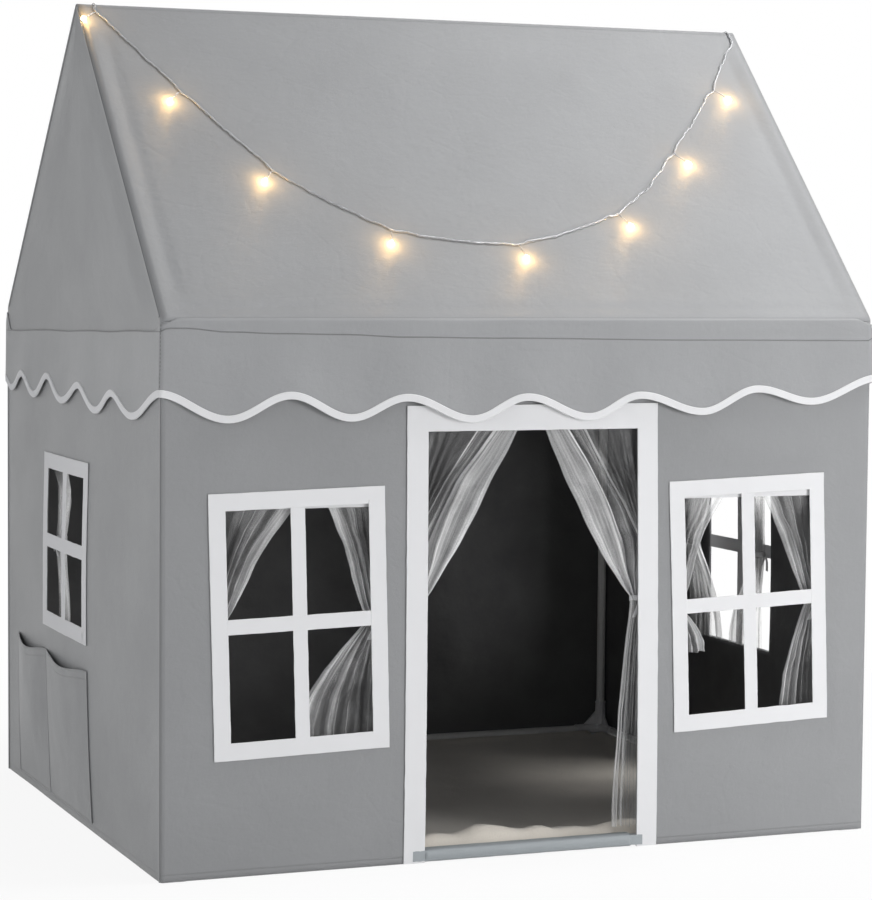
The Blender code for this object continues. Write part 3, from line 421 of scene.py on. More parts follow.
def cloth_piece(mesh, finish, stands_for):
    """A piece of the tent's grey cloth with its lining."""
    piece = new_piece(mesh, "grey_cloth", finish, lining(), stands_for=stands_for)
    thicken(piece, CLOTH)
    return piece


def woven(name, columns, rows, point, kept=None, flip=False, around=False):
    """A mesh of one layer of cloth through a grid of points, with its flat places as UVs."""
    numbers = {}
    places = []
    flats = []
    faces = []

    def number(i, j):
        key = (i % (len(columns) - 1) if around else i, j)
        if key not in numbers:
            numbers[key] = len(places)
            places.append(point(columns[key[0]], rows[j]))
        return numbers[key]

    for i in range(len(columns) - 1):
        for j in range(len(rows) - 1):
            middle = (columns[i] + columns[i + 1]) / 2, (rows[j] + rows[j + 1]) / 2
            if kept and not kept(*middle):
                continue
            corners = [(i, j), (i + 1, j), (i + 1, j + 1), (i, j + 1)]
            if flip:
                corners.reverse()
            faces.append([number(*corner) for corner in corners])
            flats += [(columns[a], rows[b]) for a, b in corners]
    mesh = bpy.data.meshes.new(name)
    mesh.from_pydata(places, [], faces)
    layer = mesh.uv_layers.new(name="flat")
    for loop, flat in zip(layer.data, flats):
        loop.uv = flat
    mesh.shade_smooth()
    return mesh


def thicken(piece, thickness):
    """Give one layer of cloth its thickness on the inner side, with any lining there."""
    step = piece.modifiers.new("thickness", "SOLIDIFY")
    step.thickness = thickness
    step.offset = -1
    step.use_even_offset = True
    step.material_offset = len(piece.data.materials) - 1


def ring_between(shape, layer, one, two, flats_one, flats_two, finish=0):
    """Join two rings of points with faces that carry their flat places."""
    for step in range(len(one)):
        after = (step + 1) % len(one)
        face = shape.faces.new((one[step], one[after], two[after], two[step]))
        face.smooth = True
        face.material_index = finish
        places = (flats_one[step], flats_one[after], flats_two[after], flats_two[step])
        for loop, place in zip(face.loops, places):
            loop[layer].uv = place


def ribbon(shape, points, across, out, thickness, closed=False, finish=0):
    """A flat band with crisp edges along points; its UVs are the way along and from the edge.

    `across` reaches from the middle to the band's edge and `out` to its outer side, each as one
    vector or point by point.
    """
    across, out = ([way] * len(points) if isinstance(way, Vector) else way
                   for way in (across, out))
    layer = shape.loops.layers.uv.verify()
    rings = []
    flats = []
    travelled = 0.0
    for index, place in enumerate(points):
        half = across[index].length
        lip = min(0.4 * thickness / half, 0.3)
        profile = [(-1, 0), (-1, 0.7 * thickness), (lip - 1, thickness), (1 - lip, thickness),
                   (1, 0.7 * thickness), (1, 0)]
        if index:
            travelled += (place - points[index - 1]).length
        rings.append([shape.verts.new(place + across[index] * a + out[index] * b)
                      for a, b in profile])
        flats.append([(travelled, half * (1 - abs(a))) for a, b in profile])
    for index in range(len(rings) - 1):
        ring_between(shape, layer, rings[index], rings[index + 1], flats[index], flats[index + 1],
                     finish)
    if closed:
        last = [(travelled + (points[0] - points[-1]).length, flat[1]) for flat in flats[0]]
        ring_between(shape, layer, rings[-1], rings[0], flats[-1], last, finish)
    else:
        for ring in (rings[0], rings[-1]):
            face = shape.faces.new(ring)
            face.material_index = finish
    for one, two in zip(rings, rings[1:] + rings[:1] if closed else rings[1:]):
        for corner in (0, 2, 3, 5):
            edge = shape.edges.get((one[corner], two[corner]))
            if edge:
                edge.smooth = False


def tube_along(shape, points, radii, sides=6, finish=0):
    """A round tube through points, with a radius at each."""
    layer = shape.loops.layers.uv.verify()
    rings = []
    flats = []
    travelled = 0.0
    guide = None
    for index, place in enumerate(points):
        ahead = points[min(index + 1, len(points) - 1)]
        behind = points[max(index - 1, 0)]
        way = (ahead - behind).normalized()
        if guide is None:
            guide = way.cross(Z if abs(way.z) < 0.9 else Y).normalized()
        guide = (guide - way * guide.dot(way)).normalized()
        other = way.cross(guide)
        if index:
            travelled += (place - points[index - 1]).length
        turns = [2 * math.pi * k / sides for k in range(sides)]
        rings.append([shape.verts.new(place + radii[index]
                                      * (guide * math.cos(t) + other * math.sin(t)))
                      for t in turns])
        flats.append([(travelled, radii[index] * t) for t in turns])
    for index in range(len(rings) - 1):
        ring_between(shape, layer, rings[index], rings[index + 1], flats[index], flats[index + 1],
                     finish)
    for ring in (rings[0], rings[-1]):
        face = shape.faces.new(ring)
        face.material_index = finish
        face.smooth = True


def mesh_from(name, shape):
    """Turn a bmesh into a mesh with its faces outwards."""
    bmesh.ops.recalc_face_normals(shape, faces=shape.faces)
    mesh = bpy.data.meshes.new(name)
    shape.to_mesh(mesh)
    shape.free()
    return mesh


# Finishes

class Nodes:
    """A node tree as it is put together."""

    def __init__(self, tree):
        self.nodes = tree.nodes
        self.links = tree.links

    def feed(self, socket, value):
        """Link a socket to another's output, or set its value."""
        if isinstance(value, bpy.types.NodeSocket):
            self.links.new(value, socket)
        else:
            socket.default_value = value

    def add(self, kind, **values):
        """A new node with its named sockets fed."""
        node = self.nodes.new(f"ShaderNode{kind}")
        for name, value in values.items():
            self.feed(node.inputs[name.replace("_", " ")], value)
        return node

    def maths(self, operation, one, two=0.0, three=0.0):
        node = self.add("Math")
        node.operation = operation
        for socket, value in zip(node.inputs, (one, two, three)):
            self.feed(socket, value)
        return node.outputs[0]

    def times(self, one, two):
        return self.maths("MULTIPLY", one, two)

    def plus(self, one, two):
        return self.maths("ADD", one, two)

    def most(self, one, two):
        return self.maths("MAXIMUM", one, two)

    def seen(self):
        """1 for what the camera sees, directly, in gloss or through glass."""
        path = self.add("LightPath").outputs
        return self.most(self.most(path["Is Camera Ray"], path["Is Glossy Ray"]),
                         path["Is Transmission Ray"])

    def blend(self, share, one, two, end):
        """Mix two shaders into the tree's output."""
        node = self.add("MixShader")
        for socket, value in zip(node.inputs, (share, one.outputs[0], two.outputs[0])):
            self.feed(socket, value)
        self.feed(end.inputs["Surface"], node.outputs[0])


class Finish(Nodes):
    """A material as it is put together from nodes."""

    def __init__(self, name, colour):
        self.material = bpy.data.materials.new(name)
        self.material.use_nodes = True
        super().__init__(self.material.node_tree)
        self.shader = self.nodes["Principled BSDF"]
        self.set(Base_Color=(*colour, 1))
        self.colour = colour

    def set(self, **values):
        """Feed the shader's own sockets."""
        for name, value in values.items():
            self.feed(self.shader.inputs[name.replace("_", " ")], value)

    def flat_place(self):
        """The place on the flat cloth, in metres."""
        node = self.add("UVMap")
        node.uv_map = "flat"
        return node.outputs["UV"]

    def solid_place(self):
        """The place in the tent, in metres."""
        return self.add("TexCoord").outputs["Object"]

    def split(self, place):
        return self.add("SeparateXYZ", Vector=place).outputs

    def stretch(self, place, *scale):
        return self.add("Mapping", Vector=place, Scale=scale).outputs[0]

    def level(self, value, low, high, to_low=0.0, to_high=1.0):
        """Bring a value from one span to another, and hold it there."""
        return self.add("MapRange", Value=value, From_Min=low, From_Max=high, To_Min=to_low,
                        To_Max=to_high).outputs[0]

    def spread(self, cloud, low, high):
        """Bring the span that clouds mostly keep to, to `low` and `high`."""
        return self.level(cloud, 0.3, 0.7, low, high)

    def clouds(self, place, scale, detail=4.0, roughness=0.6):
        return self.add("TexNoise", Vector=place, Scale=scale, Detail=detail,
                        Roughness=roughness).outputs["Fac"]

    def cells(self, place, scale):
        """How far a place is from the edges of its cell."""
        node = self.add("TexVoronoi")
        node.feature = "DISTANCE_TO_EDGE"
        self.feed(node.inputs["Vector"], place)
        self.feed(node.inputs["Scale"], scale)
        return node.outputs["Distance"]

    def mix(self, share, one, two):
        node = self.add("Mix")
        node.data_type = "RGBA"
        for name, value in (("Factor", share), ("A", one), ("B", two)):
            self.feed(node.inputs[name], value)
        return node.outputs["Result"]

    def tint(self, share):
        """The finish's own colour, darker by a share."""
        dark = (part * DARKEST for part in self.colour)
        return self.mix(share, (*self.colour, 1), (*dark, 1))

    def bumps(self, *heights):
        """The normal after bumps laid over each other, each given as its height and its depth."""
        normal = None
        for height, depth in heights:
            node = self.add("Bump", Strength=1.0, Distance=depth, Height=height)
            if normal:
                self.feed(node.inputs["Normal"], normal)
            normal = node.outputs[0]
        return normal

    def band(self, value, middle, half):
        """1 within `half` of `middle`, with soft ends."""
        away = self.maths("ABSOLUTE", self.maths("SUBTRACT", value, middle))
        return self.level(away, half, half * 0.6)

    def dashes(self, value, pitch, share):
        """1 over each stitch of a row and 0 in the gaps."""
        turn = self.maths("FRACT", self.maths("DIVIDE", value, pitch))
        return self.level(self.maths("ABSOLUTE", self.maths("SUBTRACT", turn, 0.5)),
                          share / 2, share / 2 - 0.06)

    def weave(self, u, v):
        """The over and under of a plain weave, between 0 and 1."""
        over, under = (self.maths("SINE", self.times(along, 2 * math.pi / YARN_PITCH))
                       for along in (u, v))
        return self.maths("MULTIPLY_ADD", self.times(over, under), 0.5, 0.5)


FINISHES = {}


def once(make):
    """Return the finish of that name if it has been made, or make it."""
    def given(name, *values):
        if name not in FINISHES:
            FINISHES[name] = make(name, *values).material
        return FINISHES[name]
    return given


@once
def cloth_finish(name, colour, hem_rows=(), seam_shade=0.0, corners=()):
    """Woven cloth: uneven yarns, a plain weave, small creases and rows of stitches.

    `hem_rows` are level rows and `corners` upright ones. `seam_shade` sinks a hem row's seam a
    little in a bump, paints a dark line of shade along it, and paints every stitch of the finish
    much darker as shade in the seams.
    """
    made = Finish(name, colour)
    place = made.flat_place()
    u, v, _ = made.split(place)
    warp = made.clouds(made.stretch(place, 2600, 60, 1), 1.0, 1.0, 0.5)
    weft = made.clouds(made.stretch(place, 60, 2600, 1), 1.0, 1.0, 0.5)
    broad = made.clouds(place, 5.0)
    shade = made.plus(made.plus(made.times(warp, 0.07), made.times(weft, 0.07)),
                      made.spread(broad, -0.03, 0.09))
    crumple = made.clouds(place, 55.0, 5.0, 0.65)
    creases = made.level(made.cells(made.stretch(place, 7, 9, 1), 1.0), 0.0, 0.03)
    heights = [(made.weave(u, v), 0.00010), (crumple, 0.0009), (creases, 0.00010)]
    stitch = None
    for row in hem_rows:
        line = made.times(made.band(v, row, 0.0011), made.dashes(u, STITCH, 0.72))
        if seam_shade:
            line = made.most(line, made.times(made.band(v, row, 0.0012), seam_shade))
        stitch = made.most(stitch, line) if stitch else line
    for corner in corners:
        line = made.times(made.band(u, corner, 0.0011), made.dashes(v, CORNER_STITCH, 0.66))
        stitch = made.most(stitch, line)
    # Stitches are darkened a little; with seam_shade they and the seam line are painted much
    # darker, as shade in the seams
    if stitch:
        shade = made.plus(shade, made.times(stitch, 0.9 if seam_shade else 0.22))
        heights.append((stitch, 0.0006))
    made.set(Base_Color=made.tint(shade), Normal=made.bumps(*heights),
             Roughness=made.spread(broad, 0.38, 0.46), Sheen_Weight=0.03, Sheen_Roughness=0.45,
             Specular_IOR_Level=0.38)
    return made


@once
def shaded_lining_finish(name, colour):
    """The back of the cloth, painted dark as shade for the tent's dim inside, with patches of
    random tone.
    """
    made = Finish(name, colour)
    place = made.flat_place()
    u, v, _ = made.split(place)
    patches = made.clouds(place, 9.0)
    made.set(Base_Color=made.tint(made.spread(patches, 0.0, 0.5)),
             Normal=made.bumps((made.weave(u, v), 0.00006), (made.clouds(place, 48.0), 0.0012)),
             Roughness=made.spread(patches, 0.5, 0.7))
    return made


@once
def tape_finish(name, colour, inset):
    """White ribbed tape with a row of stitches `inset` from its edges."""
    made = Finish(name, colour)
    place = made.flat_place()
    u, v, _ = made.split(place)
    ribs = made.maths("SINE", made.times(u, 2 * math.pi / RIB_PITCH))
    ribs = made.maths("MULTIPLY_ADD", ribs, 0.5, 0.5)
    stitch = made.times(made.band(v, inset, 0.0008), made.dashes(u, STITCH, 0.74))
    # Along each stitch row the tape dips in a bump and is painted a little darker, as shade in the
    # dip
    stitch_dip_shade = made.band(v, inset, 0.0026)
    broad = made.clouds(place, 22.0)
    # Painted shade: the tape is darker within 1.4 mm of its edges, where it rounds down to the
    # cloth
    edge = made.level(v, 0.0, 0.0014, 0.10, 0.0)
    shade = made.plus(made.level(broad, 0.40, 0.75, 0.0, 0.05), edge)
    made.set(Base_Color=made.tint(made.plus(shade, made.times(stitch_dip_shade, 0.03))),
             Normal=made.bumps((ribs, 0.00012), (broad, 0.0018),
                               (made.maths("SUBTRACT", 1.0, stitch_dip_shade), 0.00035), (stitch, 0.0004)),
             Roughness=made.spread(broad, 0.66, 0.82), Sheen_Weight=0.1, Specular_IOR_Level=0.3)
    return made


@once
def net_finish(name, colour, thin, dense, width, gathers):
    """Sheer net `width` wide: fine cells with open holes, denser in its gathers and at its tie.

    `gathers` gives the middle, half width and weight of each, as shares of the width.
    """
    made = Finish(name, colour)
    place = made.flat_place()
    u, v, _ = made.split(place)
    share = made.maths("DIVIDE", u, width)
    cover = thin
    for middle, half, weight in gathers:
        cover = made.maths("MULTIPLY_ADD", made.band(share, middle, half),
                           (dense - thin) * weight, cover)
    tied = made.level(made.maths("ABSOLUTE", v), 0.0, width * 0.7, (dense - thin) * 0.45, 0.0)
    wisps = made.level(made.clouds(made.stretch(place, 22, 14, 1), 1.0), 0.48, 0.70, 0.0, 0.16)
    streaks = made.clouds(made.stretch(place, 230, 5, 1), 1.0, 3.0)
    holes = made.level(made.cells(place, NET_CELLS), 0.10, 0.22, 1.12, 0.84)
    cover = made.times(made.plus(made.plus(cover, tied), wisps),
                       made.times(made.spread(streaks, 0.6, 1.4), holes))
    folds = made.clouds(made.stretch(place, 240, 12, 1), 1.0, 3.0)
    made.set(Base_Color=made.tint(made.spread(streaks, 0.10, 0.0)),
             Alpha=made.maths("MINIMUM", cover, 0.94), Normal=made.bumps((folds, 0.0010)),
             Roughness=0.7, Sheen_Weight=0.3, Specular_IOR_Level=0.2)
    return made


@once
def mat_finish(name, colour):
    """The short pile of the floor mat."""
    made = Finish(name, colour)
    place = made.flat_place()
    pile = made.clouds(place, 420.0, 4.0, 0.7)
    broad = made.clouds(place, 14.0)
    shade = made.plus(made.spread(pile, 0.14, 0.0), made.spread(broad, 0.1, 0.0))
    made.set(Base_Color=made.tint(shade), Normal=made.bumps((pile, 0.0012), (broad, 0.0030)),
             Roughness=made.spread(broad, 0.86, 0.96), Sheen_Weight=0.3)
    return made


@once
def moulded_finish(name, colour, roughness, grain):
    """Moulded plastic: a fine grain, faint flow marks and rubbed spots."""
    made = Finish(name, colour)
    place = made.solid_place()
    flow = made.clouds(made.stretch(place, 9, 9, 26), 1.0)
    rubbed = made.level(made.clouds(place, 130.0, 5.0, 0.7), 0.56, 0.72)
    shade = made.plus(made.spread(flow, 0.0, 0.12), made.times(rubbed, 0.10))
    made.set(Base_Color=made.tint(shade),
             Normal=made.bumps((made.clouds(place, grain, 3.0), 0.00005), (rubbed, 0.00006)),
             Roughness=made.spread(flow, roughness - 0.08, roughness + 0.12))
    return made


@once
def steel_finish(name, colour):
    """The drawn steel of the cells: fine lines along them and small dull spots."""
    made = Finish(name, colour)
    place = made.solid_place()
    lines = made.clouds(made.stretch(place, 1800, 90, 90), 1.0, 2.0, 0.5)
    spots = made.level(made.clouds(place, 210.0, 4.0, 0.7), 0.35, 0.7, 0.0, 0.35)
    made.set(Base_Color=made.tint(spots), Normal=made.bumps((lines, 0.00003)),
             Roughness=made.spread(lines, 0.25, 0.45), Metallic=0.9)
    return made


@once
def wire_finish(name, colour):
    """Clear sheath over bright strands, with darker streaks along it painted as shade between the
    strands.
    """
    made = Finish(name, colour)
    strands = made.clouds(made.stretch(made.flat_place(), 120, 900, 1), 1.0, 3.0)
    # Painted shade: dark streaks along the wire between pale strands
    made.set(Base_Color=made.tint(made.level(strands, 0.40, 0.62, 0.0, 1.5)),
             Normal=made.bumps((strands, 0.0002)), Roughness=made.spread(strands, 0.12, 0.34),
             Metallic=0.55, Coat_Weight=0.35)
    return made


@once
def glow_finish(name, colour, strength):
    """The clear drop of a lit lamp, brightest in its core."""
    made = Finish(name, colour)
    ripples = made.clouds(made.solid_place(), 700.0, 2.0, 0.5)
    glow = made.mix(made.spread(ripples, 0.0, 0.5), (*colour, 1), (*CORE_COLOUR, 1))
    made.set(Emission_Color=glow, Emission_Strength=strength, Roughness=0.15,
             Normal=made.bumps((ripples, 0.0003)), Coat_Weight=0.6)
    return made


# What a user would change

def colour_of(label, about, *colour):
    return FloatVectorProperty(name=label, description=about, subtype="COLOR", size=3, min=0, max=1,
                               default=colour)


def length_of(label, about, low, high, default):
    return FloatProperty(name=label, description=about, unit="LENGTH", min=low, max=high,
                         default=default)


def power_of(label, about, high, default):
    return FloatProperty(name=label, description=about, unit="POWER", min=0, max=high,
                         default=default)


def share_of(label, about, default):
    return FloatProperty(name=label, description=about, subtype="FACTOR", min=0, max=1,
                         default=default)


def strength_of(label, about, high, default):
    return FloatProperty(name=label, description=about, min=0, max=high, default=default)


class PlayTentCloth(bpy.types.PropertyGroup):
    colour: colour_of("Cloth Colour", "Colour of the outer face of the walls and roof",
                      0.279, 0.283, 0.289)
    # The lining colour is painted shade: the inner face of the cloth is made dark to stand in for
    # the dim inside of the tent
    lining: colour_of("Lining Colour", "Colour of the coated inner face of the cloth",
                      0.105, 0.105, 0.107)
    sleeve: colour_of("Sleeve Colour", "Colour of the sleeve over the doorway's bottom tube",
                      0.342, 0.370, 0.386)
    mat: colour_of("Mat Colour", "Colour of the floor mat", 0.86, 0.80, 0.71)
    front_swell: length_of("Front Swell", "How far the front and back walls stand out",
                           0, 0.02, 0.004)
    side_swell: length_of("Side Swell", "How far the side walls stand out", 0, 0.02, 0.012)
    roof_sag: length_of("Roof Sag", "How far the roof sinks between its bars", 0, 0.02, 0.004)
    wrinkle_depth: length_of("Wrinkle Depth", "Depth of the soft unevenness of the cloth",
                             0, 0.005, 0.0011)
    grid: length_of("Grid", "Spacing of the points of the cloth", 0.004, 0.03, 0.008)


class PlayTentTape(bpy.types.PropertyGroup):
    colour: colour_of("Tape Colour", "Colour of the trims, frames and binding", 0.80, 0.80, 0.81)
    ripple: length_of("Ripple", "Unevenness of the sewn tape's edges", 0, 0.002, 0.0005)


class PlayTentCurtains(bpy.types.PropertyGroup):
    colour: colour_of("Net Colour", "Colour of the net", 0.88, 0.88, 0.88)
    thin: share_of("Thin Cover", "How much one thin layer of net hides", 0.10)
    dense: share_of("Dense Cover", "How much a gathered layer of net hides", 0.85)
    fold_depth: length_of("Fold Depth", "Depth of the curtains' folds", 0, 0.02, 0.006)
    tie_width: length_of("Tie Width", "Width of a curtain where it is tied", 0.01, 0.06, 0.022)


class PlayTentLamps(bpy.types.PropertyGroup):
    wire: colour_of("Wire Colour", "Colour of the twisted wire", 0.62, 0.63, 0.65)
    glow: colour_of("Glow Colour", "Colour of the lamps' light", 1.0, 0.60, 0.19)
    brightness: strength_of("Brightness", "How bright a lamp's drop looks", 100, 30)
    power: power_of("Light Power", "Light that each lamp throws on the roof", 1, 0.064)
    twist: length_of("Twist", "Distance between the crossings of the two strands",
                     0.005, 0.05, 0.014)


class PlayTentFrame(bpy.types.PropertyGroup):
    tube: colour_of("Tube Colour", "Colour of the frame's tubes", 0.80, 0.80, 0.79)
    connector: colour_of("Connector Colour", "Colour of the moulded connectors",
                         0.74, 0.74, 0.75)
    box: colour_of("Box Colour", "Colour of the battery box and its cover", 0.82, 0.82, 0.80)


class PlayTentStage(bpy.types.PropertyGroup):
    floor: colour_of("Floor Colour", "Colour of the floor", 0.86, 0.86, 0.86)
    sky: strength_of("Sky Strength", "Strength of the soft light from all around", 3, 0.27)
    right: power_of("Right Power", "Power of the large lamp on the right", 1000, 60)
    left: power_of("Left Power", "Power of the small lamp on the left", 1000, 13)
    back: power_of("Back Power", "Power of the large lamp behind the tent", 1000, 36)
    top: power_of("Top Power", "Power of the large lamp above", 1000, 104)


def tent_shape():
    return TentShape(bpy.context.scene.play_tent_cloth)


def grey_cloth(name="tent_cloth", rows=(0.012,)):
    return cloth_finish(name, bpy.context.scene.play_tent_cloth.colour, rows)


def lining():
    return shaded_lining_finish("tent_lining", bpy.context.scene.play_tent_cloth.lining)


def white_tape():
    return tape_finish("sewn_tape", bpy.context.scene.play_tent_tape.colour, TAPE_INSET)


def net(name, width, gathers):
    curtains = bpy.context.scene.play_tent_curtains
    return net_finish(name, curtains.colour, curtains.thin, curtains.dense, width, gathers)


# Camera

CAMERA_PLACE = Vector((-1.7208964573, -4.3949560249, 0.9190633130))
CAMERA_YAW = 0.3804950962
CAMERA_PITCH = 0.0661084918
CAMERA_ROLL = 0.0082051327
LENS = 109.49
SENSOR = 36


class PLAYTENT_OT_camera(bpy.types.Operator):
    """Put the camera in front of the tent's left corner"""
    bl_idname = "play_tent.camera"
    bl_label = "Camera"

    def execute(self, context):
        level = Vector((math.sin(CAMERA_YAW), math.cos(CAMERA_YAW), 0))
        forward = level * math.cos(CAMERA_PITCH) - Z * math.sin(CAMERA_PITCH)
        right = Vector((math.cos(CAMERA_YAW), -math.sin(CAMERA_YAW), 0))
        up = right.cross(forward)
        rolled_right = right * math.cos(CAMERA_ROLL) + up * math.sin(CAMERA_ROLL)
        rolled_up = up * math.cos(CAMERA_ROLL) - right * math.sin(CAMERA_ROLL)
        data = bpy.data.cameras.new("camera")
        data.sensor_width = SENSOR
        data.lens = LENS
        camera = bpy.data.objects.new("camera", data)
        turned = Matrix((rolled_right, rolled_up, -forward)).transposed()
        camera.matrix_world = Matrix.Translation(CAMERA_PLACE) @ turned.to_4x4()
        context.scene.collection.objects.link(camera)
        context.scene.camera = camera
        return {"FINISHED"}


# Lamp string

def smooth_route(points, steps):
    """Points on a Catmull-Rom curve through the given ones, ends included."""
    padded = [2 * points[0] - points[1], *points, 2 * points[-1] - points[-2]]
    route = []
    for a, b, c, d in zip(padded, padded[1:], padded[2:], padded[3:]):
        for step in range(steps):
            t = step / steps
            route.append(0.5 * (2 * b + (c - a) * t + (2 * a - 5 * b + 4 * c - d) * t * t
                                + (3 * b - a - 3 * c + d) * t ** 3))
    route.append(points[-1])
    return route


class WireLine:
    """The lamp string's line over the roof."""

    def __init__(self, shape):
        self.shape = shape
        self.route = smooth_route([Vector((x, run, 0)) for x, run in WIRE_ROUTE], WIRE_CURVE_STEPS)
        self.lengths = [0.0]
        for one, two in zip(self.route, self.route[1:]):
            self.lengths.append(self.lengths[-1] + (two - one).length)
        self.total = self.lengths[-1]
        self.lamps = [self.total - LAMP_PITCH * (1 + lamp)
                      for lamp in range(int(self.total / LAMP_PITCH) - 1)]

    def spot(self, distance):
        """The place on the flat route, and the direction away from the middle of its loop."""
        index = min(max(bisect_left(self.lengths, distance), 1), len(self.route) - 1)
        step = self.route[index] - self.route[index - 1]
        part = (distance - self.lengths[index - 1]) / step.length
        return self.route[index - 1] + step * part, Vector((-step.y, step.x, 0)).normalized()

    def point(self, distance, lift=0.0):
        """The middle of the wire at a distance from the gland, `lift` higher."""
        place, away = self.spot(distance)
        nearest = min(abs(distance - lamp) for lamp in self.lamps)
        wobble = 0.0034 * drift(distance * 34, 0, 5.0) + 0.0016 * drift(distance * 85, 0, 9.0)
        wobble *= soft(nearest, 0.0, 0.01) * soft(distance, 0.02, 0.05)
        place = place + away * (LAMP_PULL * max(0, 1 - nearest / LAMP_PULL_REACH) + wobble)
        at_gland = min(1, max(0, 1 - (distance - GLAND_LENGTH) / GLAND_RUN_DOWN))
        rise = (GLAND_RADIUS - WIRE_DIAMETER / 2) * at_gland
        return self.shape.roof(place.x, place.y, WIRE_DIAMETER / 2 + FIT + rise + lift)

    def lamp_axis(self, distance):
        """Where a lamp's stub leaves the wire and where its drop ends."""
        place, away = self.spot(distance)
        if distance >= self.total:
            way = (self.route[-1] - self.route[-2]).normalized()
            tip = place + way * (LAMP_STUB + LAMP_LENGTH)
        else:
            way = (away * (1 - LAMP_LEAN) - Y * LAMP_LEAN).normalized()
            tip = place + way * (LAMP_PULL + LAMP_STUB + LAMP_LENGTH)
        return self.point(distance), self.shape.roof(tip.x, tip.y, LAMP_RADIUS + 2 * FIT)


class PLAYTENT_OT_lamp_string(bpy.types.Operator):
    """Twist the wire over the roof and light its lamps"""
    bl_idname = "play_tent.lamp_string"
    bl_label = "Lamp String"

    def execute(self, context):
        settings = context.scene.play_tent_lamps
        line = WireLine(tent_shape())
        wire = wire_finish("twisted_wire", settings.wire)
        glow = glow_finish("lamp_glass", settings.glow, settings.brightness)
        count = round(line.total / WIRE_STEP)
        stops = [line.total * k / count for k in range(count + 1)]
        path = [line.point(distance) for distance in stops]
        strands = bmesh.new()
        for turn in (0, math.pi):
            points = []
            for distance in stops:
                here = line.point(distance)
                way = (line.point(min(distance + 0.002, line.total))
                       - line.point(max(distance - 0.002, 0))).normalized()
                out = (line.point(distance, 0.001) - here).normalized()
                side = way.cross(out)
                ends = soft(distance, 0.002, 0.02) * soft(line.total - distance, 0.0, 0.012)
                reach = (0.0004 + 0.0009 * ends) * (1 + 0.6 * drift(distance * 24, 0, 4.0))
                phase = math.pi * distance / settings.twist + turn
                phase += 1.3 * drift(distance * 9, 0, 2.0)
                points.append(here + side * reach * math.cos(phase)
                              + out * 0.55 * reach * math.sin(phase))
            tube_along(strands, points, [STRAND_RADIUS] * len(points))
        piece = new_piece(mesh_from("twisted_wire", strands), "clear_wire", wire,
                          stands_for="lamp_string")
        for number, distance in enumerate([*line.lamps, line.total], start=1):
            root, tip = line.lamp_axis(distance)
            self.lamp(number, root, tip, wire, glow)
            light = bpy.data.lights.new(f"lamp_light_{number}", "POINT")
            light.energy = settings.power
            light.color = settings.glow
            light.shadow_soft_size = LAMP_SHINE_RADIUS
            shine = bpy.data.objects.new(light.name, light)
            run = -0.3 if tip.y < 0 else 0.3
            out = (line.shape.roof(0, run, 1.0) - line.shape.roof(0, run)).normalized()
            shine.location = (tip - (tip - root).normalized() * LAMP_LENGTH / 2
                              + out * LAMP_SHINE_LIFT)
            context.scene.collection.objects.link(shine)
        tuple(path[0])
        return {"FINISHED"}

    def lamp(self, number, root, tip, wire, glow):
        """One lamp: a stub of wire, a collar and a clear drop."""
        shape = bmesh.new()
        way = (tip - root).normalized()
        length = (tip - root).length
        start = length - LAMP_LENGTH
        side = way.cross(Z).normalized()
        stub = [root + way * start * k / 6 + side * 0.0009 * math.sin(math.pi * k / 3)
                for k in range(7)]
        tube_along(shape, stub, [STUB_RADIUS] * len(stub))
        tube_along(shape, [root + way * (start + along) for along, _ in LAMP_PROFILE],
                   [radius for _, radius in LAMP_PROFILE], sides=12, finish=1)
        piece = new_piece(mesh_from(f"lamp_{number}", shape), "lamp_glow", wire, glow,
                          stands_for="lamp_string")
        piece.visible_shadow = False
        return piece


# Walls and roof

def wall_openings(wall):
    """The openings cut in a wall's cloth, as (left, right, low, high)."""
    found = []
    for on_wall, along, height, width, tall in WINDOWS.values():
        if on_wall == wall:
            half = width / 2 + WINDOW_LAP
            rise = tall / 2 + WINDOW_LAP
            found.append((along - half, along + half, height - rise, height + rise))
    if wall == "front":
        found.append((-DOOR_WIDTH / 2, DOOR_WIDTH / 2, 0, DOOR_HEIGHT))
    return found


class PLAYTENT_OT_walls(bpy.types.Operator):
    """Hang the four cloth walls, the side ones with their gables"""
    bl_idname = "play_tent.walls"
    bl_label = "Walls"

    def execute(self, context):
        shape = tent_shape()
        grid = context.scene.play_tent_cloth.grid
        for wall, (_, _, _, half) in WALLS.items():
            openings = wall_openings(wall)
            sides = [edge for left, right, _, _ in openings for edge in (left, right)]
            levels = [edge for _, _, low, high in openings for edge in (low, high)]
            gabled = wall in ("left", "right")
            reach = half - (CLOTH + FIT if gabled else 0)
            top = RIDGE_BAR + BAR_INSET - CLOTH - FIT if gabled else EAVE_BAR - FIT
            columns = cut_lines(-reach, reach, grid, sides)
            rows = cut_lines(HEM_LIFT, top, grid, [*levels, EAVE_BAR])

            def point(along, height):
                narrow = gable_half(height) / reach if height > EAVE_BAR else 1
                return shape.wall(wall, along * narrow, 0, height)

            def kept(along, height):
                return not any(a < along < b and c < height < d for a, b, c, d in openings)

            mesh = woven(f"{wall}_wall_cloth", columns, rows, point, kept, wall in FACING_IN)
            piece = cloth_piece(mesh, grey_cloth(), f"{wall}_wall")
            full = 2 * half * (EAVE_BAR if gabled else top)
            if gabled:
                full += half * (RIDGE_BAR + BAR_INSET - EAVE_BAR)
            cut = sum((b - a) * (d - max(c, 0)) for a, b, c, d in openings)
        return {"FINISHED"}


